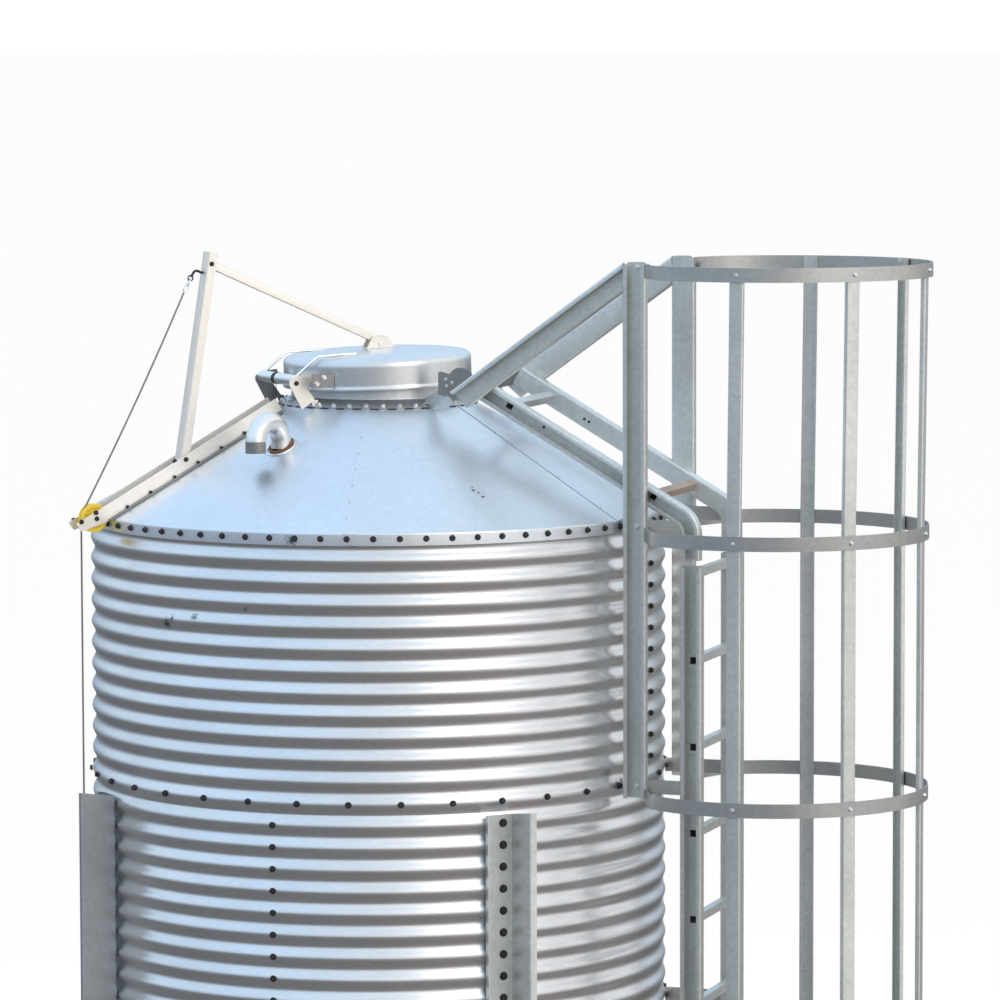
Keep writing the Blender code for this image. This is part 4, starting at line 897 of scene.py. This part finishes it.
CHAIN_LENGTH, SAG, TAIL_FOOT_Z = 0.0493, 0.007, 1.330
wrap = 0.0345 + ROPE_R + 0.0015
span = Vector((PULLEY[0] - ROPE_EYE[0], PULLEY[1] - ROPE_EYE[1]))
lean = atan2(span.y, span.x) + asin(wrap / span.length)
run_length = sqrt(span.length ** 2 - wrap ** 2)
rope_way = in_link_plane(lean)
sag = in_link_plane(lean - pi / 2)
eye = LINK.at(ROPE_EYE[0], 0, ROPE_EYE[1])
first = CHAIN_LENGTH
points = []
for i in range(17):
    t = i / 16
    points.append(eye + rope_way * (first + (run_length - first) * t) + sag * SAG * 4 * t * (1 - t))
run = rope("rope_run_wire", points, "rope_lead", "rope_run")
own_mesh(run)
line = arc(*PULLEY, wrap, degrees(lean) + 90, 0, 12)
line += [(PULLEY[0] + wrap, PULLEY[1] - (PULLEY[1] - TAIL_FOOT_Z) * i / 20) for i in range(1, 21)]
tail = rope("rope_tail_wire", [LINK.at(out, 0, z) for out, z in line], "silo", "rope_tail")
print("rope faces:", len(run.data.polygons) + len(tail.data.polygons))

# %% [markdown]
# ## Chain and hook
#
# The wire ends in two links of chain that hang in a ring at the tip of the strut's hook. A link's path is
# two half circles joined by straight rods.

# %% Chain and hook
def chain_link(middle, way, across, rod, into):
    path = arc(-0.0055, 0, 0.0060, 90, 270, 8) + arc(0.0055, 0, 0.0060, -90, 90, 8)
    square = way.cross(across).normalized()
    stations = []
    for i, (a, b) in enumerate(path):
        before, after = path[i - 1], path[(i + 1) % len(path)]
        along = (way * (after[0] - before[0]) + across * (after[1] - before[1])).normalized()
        stations.append((middle + way * a + across * b, square, square.cross(along).normalized()))
    sweep(stations, circle(rod, 10), closed=True, into=into)


chain = bmesh.new()
chain_link(eye + rope_way * 0.0140, rope_way, LINK.side, 0.0026, chain)
chain_link(eye + rope_way * 0.0345, rope_way, sag, 0.0022, chain)
tube([eye + rope_way * d for d in (0.0405, 0.0440, 0.0500)], 0.0028, LINK.side, 10, into=chain)
keep("chain_links", chain, "zinc", "rope_lead", ["snap_hook"])
path = [(0.596, 4.5402), (0.6051, 4.5405), (0.614, 4.545), (0.6219, 4.5472), (0.630, 4.5425),
        (0.6355, 4.5334), (0.6390, 4.5275)]
hook = tube(rounded([LINK.at(out, 0, z) for out, z in path], 0.006, 3), 0.0041, LINK.side)
ways = [in_link_plane(2 * pi * i / 24) for i in range(24)]
sweep([(eye + way * 0.0083, way, LINK.side) for way in ways], circle(0.0021, 10), closed=True, into=hook)
keep("rope_hook", hook, "bolt", "opener_strut")

# %% [markdown]
# ## The vent
#
# A gooseneck of pipe stands on the roof and turns down, so that rain stays out. It is a circle swept up,
# round and down, as a pipe with a real wall. A rusty clamp and a ring of bar lie round its foot, and a small
# loop of wire beside it. All three follow the cone.

# %% Gooseneck vent
VENT_OUT, VENT_BEND, VENT_R = 0.5147, 0.065, 0.0318
bend_z = roof_z(VENT_OUT) + 0.0175
mouth_z = bend_z - 0.028
line = arc(VENT_OUT + VENT_BEND, bend_z, VENT_BEND, 180, 0, 24)
line = [(VENT_OUT, roof_z(VENT_OUT) - 0.004)] + line + [(VENT_OUT + 2 * VENT_BEND, mouth_z)]
neck = tube([VENT.at(out, 0, z) for out, z in line], VENT_R, VENT.side, 36, wall=0.0022)
keep("vent_neck", neck, "zinc", replaced=["vent_pipe"])
mouth = [VENT.at(VENT_OUT + 2 * VENT_BEND, 0, mouth_z + d) for d in (-0.0002, 0.002, 0.034, 0.036)]
keep("vent_mouth_band", tube(mouth, VENT_R + 0.0001, VENT.side, 36, wall=0.0034), "dull_and_painted_shade")


def cone_ring(name, centre, axes, radius, lift, steps, section, finish):
    """A ring of round bar that lies on the cone, at that height above it."""
    ring = []
    for i in range(steps + 1):
        turn = 2 * pi * i / steps
        place = centre + (axes[0] * cos(turn) + axes[1] * sin(turn)) * radius
        place.z = roof_z(hypot(place.x - AXIS_X, place.y)) + lift
        ring.append(place)
    keep(name, sweep(along_path(ring, VENT.up), section), finish)


foot = VENT.at(VENT_OUT, 0, 0)
axes = (VENT.out, VENT.side)
cone_ring("vent_clamp", foot, axes, 0.0362, 0.0062, 48, circle(0.0038, 8), "rust")
cone_ring("vent_base_ring", foot, axes, 0.0362 * 1.24, 0.0020, 48, circle(0.0036, 8), "zinc")
beside = VENT.at(0.4900, 0.058, 0)
cone_ring("vent_wire_loop", beside, axes[::-1], 0.012, 0.0120, 24, circle(0.0012, 6), "zinc")

# %% [markdown]
# ## Legs
#
# Each leg is one strip, bent three times: a lip, a face against the wall, a web that stands out, and a toe.
# Its head is cut at a slant. It stands on a square plate that is bolted to the ground.

# %% Legs and foot plates
WALL, HEAD_SLANT, HEAD_Z = CREST_R + 0.0003, 0.14, 2.908
section = bent_strip([(WALL + 0.025, -0.058), (WALL + 0.002, -0.058), (WALL + 0.002, 0.032),
                      (WALL + 0.122, 0.032), (WALL + 0.122, 0.056)], 0.004, bend=0.006)
for number, az in enumerate(LEG_AZ, start=1):
    plane = Upright(az)
    slanted = plane.out + plane.up * HEAD_SLANT
    leg = sweep([(plane.at(0, 0, 0.006), plane.out, plane.side),
                 (plane.at(0, 0, HEAD_Z - HEAD_SLANT * WALL), slanted, plane.side)], section)
    pad = rectangle(0.975 - 0.110, 0.975 + 0.110, -0.110, 0.110)
    sweep([(plane.at(0, 0, z), plane.out, plane.side) for z in (0.0, 0.012)], pad, into=leg)
    # Legs 1 and 2 take the lighter channel finish and legs 3 and 4 a darker copy of it: painted shade.
    keep(f"leg_strip_{number}", leg, "channel" if number < 3 else "leg_painted_shade", replaced=[f"leg_{number}"])

# %% [markdown]
# ## The hopper
#
# Below the rings the tank narrows to its outlet. Two sheets make the cone, lapped on two sides, and a short
# boot with a flange closes it. The photograph ends above it, so it follows what such silos have: a sixty
# degree cone.

# %% Hopper and outlet
HOPPER_TOP_R = TANK_R - WAVE - 0.0043
HOPPER_FOOT_Z = HOPPER_SEAM_Z - (HOPPER_TOP_R - 0.2072) * tan(radians(60))
path = [(HOPPER_TOP_R - 0.001, HOPPER_SEAM_Z + 0.060), (HOPPER_TOP_R - 0.001, HOPPER_SEAM_Z),
        (0.2062, HOPPER_FOOT_Z), (0.2062, HOPPER_FOOT_Z - 0.060)]
section = bent_strip(path, 0.0018, bend=0.020)
turns = [-2.4, -2.35] + [3.0 * i for i in range(61)]
for number in (1, 2):
    seam = UPPER_SEAM + 180 * (number - 1)
    lapped(f"hopper_sheet_{number}", section, seam, turns, (0.0016, 0.0), "wall", f"hopper_{number}", 40)
top = HOPPER_FOOT_Z - 0.006
boot = bent_strip([(0.2090, top), (0.2090, top - 0.0725), (0.2620, top - 0.0725)], 0.004, bend=0.006)
keep("outlet_ring", turned(boot, 96), "plate", replaced=["outlet_boot"], smooth=40)

# %% [markdown]
# ## Side ladder
#
# The stiles are channels with their flanges turned outwards, and the rungs are square tubes whose open ends
# show through the stiles as dark squares. Hollow rungs make those holes for real: the tube has a wall, and
# the stile's web is cut open inside it. Only the top rung ends behind a closed web.

# %% Stiles, rungs and stand-offs
def rung_tube(centre, first, second, into):
    stations = [(centre + LADDER.side * s, first, second) for s in (-STILE_SIDE, STILE_SIDE)]
    outer, inner = 0.013, 0.0115
    hollow(stations, rectangle(-outer, outer, -outer, outer), rectangle(-inner, inner, -inner, inner), into)


def rung_holes(centre, first, second, width, into):
    """Two boxes, one at each end of a rung, to be cut out of the stiles."""
    for side in (-STILE_SIDE, STILE_SIDE):
        stations = [(centre + LADDER.side * (side + s), first, second) for s in (-0.006, 0.006)]
        sweep(stations, rectangle(-width / 2, width / 2, -0.011, 0.011), into=into)


def stand_off(name, z, radius, end):
    """Two flat bars, from a wall of that radius out to the ladder."""
    start = sqrt(radius ** 2 - 0.247 ** 2) - 0.002
    bars = bmesh.new()
    for sign in (-1, 1):
        outline = rectangle(start, end, z - STRAP_W / 2, z + STRAP_W / 2)
        bar(LADDER, outline, sign * (POST_SIDE - 0.0006), sign * (POST_SIDE - 0.0044), into=bars)
    keep(name, bars, "strap")


STEP, TOP_RUNG_Z = 4 * PITCH, 3.616
ladder, holes, rungs = bmesh.new(), bmesh.new(), bmesh.new()
for sign in (-1, 1):
    stations = [(LADDER.at(STILE_OUT, sign * STILE_SIDE, z), LADDER.out, LADDER.side * sign)
                for z in (0.300, 3.641)]
    sweep(stations, lipped(STILE_W, FLANGE), into=ladder)
ladder = keep("ladder_stiles", ladder, "channel", replaced=["side_ladder"])
for i in range(13):
    centre = LADDER.at(STILE_OUT, 0, TOP_RUNG_Z - i * STEP)
    rung_tube(centre, LADDER.out, LADDER.up, rungs)
    if i > 0:
        rung_holes(centre, LADDER.out, LADDER.up, 0.025, holes)
cut(ladder, holes)
keep("ladder_rungs", rungs, "channel")
stand_off("standoff_seam", RING_SEAM_Z, CREST_R, STILE_OUT - STILE_W / 2)
stand_off("standoff_low", HOPPER_SEAM_Z + PITCH, CREST_R, STILE_OUT - STILE_W / 2)

# %% [markdown]
# ## Roof ladder
#
# The rails bend over the eave and run up the roof. The bend is one path with a round corner, and the channel
# follows it. Two rungs lie on the slope, and the lower one has taken a reddish stain.

# %% Rails over the roof
RUNG_OUT, RUNG_Z, CORNER_R = 0.515, 4.127, 0.070
incline = radians(30.2)
quarter = pi / 2 - incline
bend_out = RAIL_OUT - RAIL_W / 2 - CORNER_R
corner_out = bend_out + CORNER_R * cos(quarter)
bend_z = RUNG_Z - (corner_out - RUNG_OUT) * tan(incline) - CORNER_R * sin(quarter)
rail = [(RUNG_OUT - 0.114, RUNG_Z + 0.114 * tan(incline), quarter)]
for i in range(13):
    t = quarter * (1 - i / 12)
    rail.append((bend_out + CORNER_R * cos(t), bend_z + CORNER_R * sin(t), t))
rail.append((bend_out + CORNER_R, 3.660, 0.0))
rails, holes = bmesh.new(), bmesh.new()
for sign in (-1, 1):
    stations = [(LADDER.at(out, sign * STILE_SIDE, z), LADDER.out * cos(t) + LADDER.up * sin(t),
                 LADDER.side * sign) for out, z, t in rail]
    sweep(stations, lipped(RAIL_W, FLANGE), into=rails)
rails = keep("roof_rails", rails, "channel", replaced=["roof_ladder"])
down = LADDER.out * cos(incline) - LADDER.up * sin(incline)
off_slope = LADDER.up * cos(incline) + LADDER.out * sin(incline)
for number, steps, finish in ((1, 0, "channel"), (3, 2, "red_oxide")):
    centre = LADDER.at(RUNG_OUT, 0, RUNG_Z) + down * (steps * STEP)
    rungs = bmesh.new()
    rung_tube(centre, down, off_slope, rungs)
    keep(f"roof_rung_{number}", rungs, finish)
    rung_holes(centre, down, off_slope, 0.022, holes)
cut(rails, holes)
stand_off("standoff_eave", EAVE_BOLT_Z, EAVE_R, RAIL_OUT - RAIL_W)

# %% [markdown]
# ## Posts and handrails
#
# Two posts stand beside the ladder with their flanges turned out, and two sloping handrails join them to the
# collar. They are the same bent channel again. A handrail's two ends are cut where they meet the post and
# the collar, so its width there is drawn from its upper and lower edge.

# %% Posts and handrails
HANDRAIL_W, UPPER_EDGE, LOWER_EDGE = 0.074, 0.0382, 0.0530
CROWN_Z, CROWN_R, CROWN_HALF = 4.5698, 0.012, 0.022
crown = [(POST_OUT - 0.034, 4.560), (POST_OUT + 0.034, 4.560)]
crown += arc(POST_OUT + CROWN_HALF, CROWN_Z, CROWN_R, 0, 90, 6)
crown += arc(POST_OUT - CROWN_HALF, CROWN_Z, CROWN_R, 90, 180, 6)
head_out = POST_OUT - POST_W / 2 - 0.0003


def handrail_z(out):
    return 4.1658 + (out - 0.385) * 0.723


for label, sign in (("near", -1), ("far", 1)):
    web = sign * (POST_SIDE + GAUGE / 2)
    stations = [(LADDER.at(POST_OUT, web, z), LADDER.out, LADDER.side * sign) for z in (2.915, 4.574)]
    post = sweep(stations, lipped(POST_W, POST_FLANGE))
    bar(LADDER, crown, web - sign * 0.0012, web + sign * 0.0012, into=post)
    keep(f"post_channel_{label}", post, "channel", replaced=[f"post_{label}"])
    stations = []
    for top, foot in ((0.3385, 0.396), (head_out, head_out)):
        high = LADDER.at(top, web, handrail_z(top) + UPPER_EDGE)
        low = LADDER.at(foot, web, handrail_z(foot) - LOWER_EDGE)
        stations.append(((high + low) / 2, (high - low) / HANDRAIL_W, LADDER.side * sign))
    handrail = sweep(stations, lipped(HANDRAIL_W, POST_FLANGE - 0.004))
    keep(f"handrail_channel_{label}", handrail, "channel", replaced=[f"handrail_{label}"])

# %% [markdown]
# ## The cage
#
# Hoops of flat strap hold five upright bars. A hoop is one path: a foot on the post, a bend, the long round,
# and the same back. The lowest hoop has its feet on the stiles. A flat section follows the path.

# %% Hoops and bars
def round_cage(phi):
    """The direction from the cage's middle at that angle, 0 straight away from the tank."""
    return LADDER.out * cos(radians(phi)) + LADDER.side * sin(radians(phi))


face, level = POST_OUT + POST_W / 2 + 0.0023, POST_SIDE + 0.002
post_foot = [(face, POST_SIDE + 0.001), (face, POST_SIDE + GAUGE + POST_FLANGE)]
stile_foot = [(STILE_OUT - STILE_W / 2, level), (STILE_OUT + STILE_W / 2 + 0.012, level)]
for number, top in enumerate(HOOP_TOPS, start=1):
    last, feet = (108.0, stile_foot) if number == 4 else (126.0, post_foot)
    middle = CAGE_OUT + (0.0 if number > 1 else HOOP_LEAN)
    path = [(out, -side) for out, side in feet] + arc(middle, 0, 0.482, -last, last, 84) + feet[::-1]
    line = [LADDER.at(out, side, top - STRAP_W / 2) for out, side in path]
    section = rectangle(-STRAP / 2, STRAP / 2, -STRAP_W / 2, STRAP_W / 2)
    hoop = sweep(along_path(line, LADDER.up), section)
    keep(f"hoop_{number}", hoop, "darker_strap" if number > 1 else "strap", replaced=[f"cage_hoop_{number}"])
section = u_channel(0.0153, -0.0015, 0.0208, 0.0028, 0.004)
bends = ((HOOP_TOPS[-1] - STRAP_W, 0.0), (HOOP_TOPS[1] + 0.004, 0.0),
         (HOOP_TOPS[0] - STRAP_W - 0.004, HOOP_LEAN), (HOOP_TOPS[0] - 0.002, HOOP_LEAN))
for number, phi in enumerate(BARS, start=1):
    stations = [(LADDER.at(CAGE_OUT + shift, 0, z) + round_cage(phi) * 0.4775, round_cage(phi),
                 round_cage(phi + 90)) for z, shift in bends]
    keep(f"bar_{number}", sweep(stations, section), "channel", replaced=[f"cage_bar_{number}"])

# %% [markdown]
# ## Bolts
#
# The rings alone hold more than a hundred bolts. Copying heads by hand would be slow and hard to change. A
# Geometry Nodes tree takes a cloud of points, each with the direction that its bolt looks in, and puts a
# washer and a head on every one. The heads are turned by chance about their own axis, with a fixed seed,
# because nobody lines up spanners.

# %% Bolt tree
bolt_tree, given = group("bolts on points", [
    ("Head width", "Float", 0.017), ("Head height", "Float", 0.007), ("Washer width", "Float", 0.021),
    ("Washer height", "Float", 0.002), ("Sides", "Int", 6), ("Taper", "Float", 0.86), ("Seed", "Int", 7),
    ("Finish", "Material", None)])


def cone_of(width, depth, sides, taper):
    radius = calc(bolt_tree, "MULTIPLY", given[width], 0.5)
    return put(bolt_tree, "GeometryNodeMeshCone", {
        "Vertices": sides, "Radius Bottom": radius, "Radius Top": calc(bolt_tree, "MULTIPLY", radius, taper),
        "Depth": given[depth]})[0]


head = cone_of("Head width", "Head height", given["Sides"], given["Taper"])
washer = cone_of("Washer width", "Washer height", 14, 0.95)
lift = put(bolt_tree, "ShaderNodeCombineXYZ", {"Z": given["Washer height"]})[0]
raised = put(bolt_tree, "GeometryNodeTransform", {"Geometry": head, "Translation": lift})[0]
joined = put(bolt_tree, "GeometryNodeJoinGeometry", {0: raised})[0]
bolt_tree.links.new(washer, joined.node.inputs[0])
looks = put(bolt_tree, "GeometryNodeInputNamedAttribute", {"Name": "aim"}, data_type="FLOAT_VECTOR")[0]
aim = put(bolt_tree, "FunctionNodeAlignRotationToVector", {"Vector": looks}, axis="Z")[0]
chance = put(bolt_tree, "FunctionNodeRandomValue", {3: 2 * pi, "Seed": given["Seed"]}, data_type="FLOAT")[1]
spin = put(bolt_tree, "ShaderNodeCombineXYZ", {"Z": chance})[0]
own_turn = put(bolt_tree, "FunctionNodeEulerToRotation", {0: spin})[0]
both = {"Rotation": aim, "Rotate By": own_turn}
rotation = put(bolt_tree, "FunctionNodeRotateRotation", both, rotation_space="LOCAL")[0]
spots = {"Points": given["Geometry"], "Instance": joined, "Rotation": rotation}
give_back(bolt_tree, given, put(bolt_tree, "GeometryNodeInstanceOnPoints", spots)[0])


def bolts(name, places, finish="bolt", body="silo", head=(0.017, 0.007), washer=(0.021, 0.002), **more):
    """Bolts at (place, direction) pairs. A head and a washer are given by width and height."""
    mesh = bpy.data.meshes.new(name)
    mesh.from_pydata([tuple(place) for place, _ in places], [], [])
    aims = mesh.attributes.new("aim", "FLOAT_VECTOR", "POINT")
    for slot, (_, direction) in zip(aims.data, places):
        slot.vector = direction
    values = {"Finish": FINISH[finish], "Head width": head[0], "Head height": head[1],
              "Washer width": washer[0], "Washer height": washer[1]}
    values.update({key.capitalize(): value for key, value in more.items()})
    piece = run_tree(name, mesh, bolt_tree, values)
    piece.data.shade_flat()
    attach(piece, body)
    return piece


# %% [markdown]
# ## Where the bolts sit
#
# Bolt rows follow the sheet: 36 round each ring seam, 72 round the eave, and one on every crest of an
# upright seam or a leg. A bolt is a place and the direction that it looks in: out from the wall, up from a
# foot, or square off the cone.

# %% Bolt rows
cone = hypot(1, ROOF_RISE)
OUTWARDS, UPWARDS, OFF_CONE = (1.0, 0.0), (0.0, 1.0), (ROOF_RISE / cone, 1 / cone)


def bolt_at(az, out, side, z, way=OUTWARDS):
    plane = Upright(az)
    return plane.at(out, side, z), plane.out * way[0] + plane.up * way[1]


def round_row(out, z, count, first=4.0, way=OUTWARDS):
    return [bolt_at(first + 360.0 * i / count, out, 0, z, way) for i in range(count)]


crest = CREST_R - 0.0003
rows = round_row(crest, RING_SEAM_Z, 36) + round_row(crest, HOPPER_SEAM_Z + PITCH, 36)
for seam, base in ((UPPER_SEAM + 180, RING_SEAM_Z), (UPPER_SEAM, RING_SEAM_Z), (LOWER_SEAM, HOPPER_SEAM_Z),
                   (LOWER_SEAM + 180, HOPPER_SEAM_Z)):
    rows += [bolt_at(seam - 1.2, crest + SHEET, 0, base + PITCH * k) for k in range(1, 12)]
bolts("wall_bolts", rows)
rows = round_row(EAVE_R - 0.0002, EAVE_BOLT_Z, 72)
bolts("eave_bolts", rows, head=(0.0165, 0.007), washer=(0.020, 0.002))
rows = [bolt_at(az, WALL + 0.004, 0, RING_SEAM_Z - PITCH * k) for az in LEG_AZ for k in range(1, 12)]
bolts("leg_bolts", rows, head=(0.022, 0.007), washer=(0.027, 0.002))
radii = [0.460 + 0.0795 * i for i in range(6)]
rows = [bolt_at(seam - 0.4, radius, 0, roof_z(radius) + 0.0022, OFF_CONE)
        for seam in ROOF_SEAMS[1:] for radius in radii]
bolts("roof_rivets", rows, "roof", head=(0.009, 0.0035), washer=(0.012, 0.001), sides=10, taper=0.5)
rows = round_row(0.306, roof_z(0.306) + 0.005, 36, 3.0, OFF_CONE)
bolts("collar_bolts", rows, "zinc", head=(0.013, 0.006), washer=(0.017, 0.002))
print("bolts on the collar:", len(rows))

# %% Hoop, post and foot bolts
rows = []
for top in HOOP_TOPS:
    shift = HOOP_LEAN if top == HOOP_TOPS[0] else 0.0
    middle = LADDER.at(CAGE_OUT + shift, 0, top - STRAP_W / 2)
    rows += [(middle + round_cage(phi) * CAGE_R, round_cage(phi)) for phi in BARS]
bolts("cage_bolts", rows, "zinc", head=(0.014, 0.005), washer=(0.015, 0.002), sides=10, taper=0.6)
rows = [(LADDER.at(POST_OUT + POST_W / 2 + 0.0043, side, top - STRAP_W / 2), LADDER.out)
        for top in HOOP_TOPS[:3] for side in (-POST_SIDE - 0.017, POST_SIDE + 0.017)]
bolts("hoop_foot_bolts", rows, "dull_and_painted_shade", head=(0.017, 0.010), washer=(0.023, 0.002))
rows = [(LADDER.at(POST_OUT, sign * (POST_SIDE + GAUGE), z), LADDER.side * sign)
        for sign in (-1, 1) for z in (4.566, EAVE_BOLT_Z, RING_SEAM_Z)]
bolts("post_bolts", rows, "zinc", head=(0.015, 0.007), washer=(0.019, 0.002))
rows = [bolt_at(az, out, side, 0.012, UPWARDS)
        for az in LEG_AZ for out in (0.885, 1.065) for side in (-0.085, 0.085)]
bolts("anchor_bolts", rows, "zinc", head=(0.024, 0.014), washer=(0.034, 0.003))
rows = round_row(0.240, HOPPER_FOOT_Z - 0.0765, 12, 0.0, UPWARDS)
bolts("flange_bolts", rows, "zinc", head=(0.016, 0.008), washer=(0.022, 0.002))

# %% Opener bolts
rows = [(LINK.at(out, side, roof_z(out) + 0.0060), off_roof)
        for out in (0.872, 0.794, 0.713, 0.634, 0.555, 0.476) for side in (-0.0405, 0.0405)]
bolts("arm_foot_bolts", rows, head=(0.010, 0.006), washer=(0.0115, 0.002))
rows = []
for sign in (-1, 1):
    rows += [(LINK.at(out, sign * 0.0350, z), LINK.side * sign)
             for out, z in (STRUT_PIVOT, PULLEY, (1.0261, 3.7751), (0.9778, 3.8020))]
    rows.append((LINK.at(HINGE[0], sign * 0.140, HINGE[1] - 0.008), LINK.side * sign))
knob_out, knob_z = on_arm(0.688, 0.0487)
rows.append((LINK.at(knob_out, 0.033, knob_z), off_roof))
bolts("opener_bolts", rows, head=(0.013, 0.006), washer=(0.016, 0.002))
rows = [(LINK.at(LINK_PIN[0], sign * 0.0255, LINK_PIN[1]), LINK.side * sign) for sign in (-1, 1)]
bolts("link_pin_bolts", rows, "bolt", "opener_strut", head=(0.013, 0.006), washer=(0.016, 0.002))
rows = [(LINK.at(CLEVIS_PIN[0], sign * 0.0205, CLEVIS_PIN[1] - 0.0125), LINK.side * sign) for sign in (-1, 1)]
bolts("clevis_bolts", rows, "zinc", "hatch_lid", head=(0.012, 0.006), washer=(0.015, 0.002))
rows = [(LADDER.at(out, sign * (POST_SIDE - 0.0003), z), LADDER.side * sign)
        for out, z in ((0.3165, 4.2084), (0.338, 4.1978), (0.3198, 4.1865)) for sign in (-1, 1)]
bolts("gusset_bolts", rows, "zinc", head=(0.010, 0.005), washer=(0.012, 0.002))
# Thin dark discs where three holes are drilled in the stiles: painted shade of the holes.
rows = [(LADDER.at(out, side - GAUGE / 2, z), -LADDER.side)
        for out, side, z in ((0.6273, STILE_SIDE, 4.0575), (0.6430, STILE_SIDE, 4.0490),
                             (0.6265, -STILE_SIDE, 4.0616))]
bolts("hole_shade_discs", rows, head=(0.009, 0.0004), washer=(0.0095, 0.0002), sides=14)
rows = [(LINK.at(0.2965, 0.1915, 4.1916), LINK.side), (LINK.at(0.2720, 0.1915, 4.2110), LINK.side)]
bolts("lug_bolts", rows, "zinc", "hatch_lid", head=(0.013, 0.012), washer=(0.016, 0.002))

# %% [markdown]
# ## Solids that stay
#
# A few small solids have the right shape already: the two pins and the rope's cleat. They keep their mesh
# and get a finish.

# %% Plain solids
for name in ("strut_pin", "pulley_axle", "rope_cleat"):
    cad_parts[name].material_slots[0].material = FINISH["zinc"]

# %% [markdown]
# ## The dressed box
#
# The box that the dressed silo fills is printed.

# %% Sizes and finish
low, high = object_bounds()
print("dressed:", [round(v, 3) for v in low], [round(v, 3) for v in high])
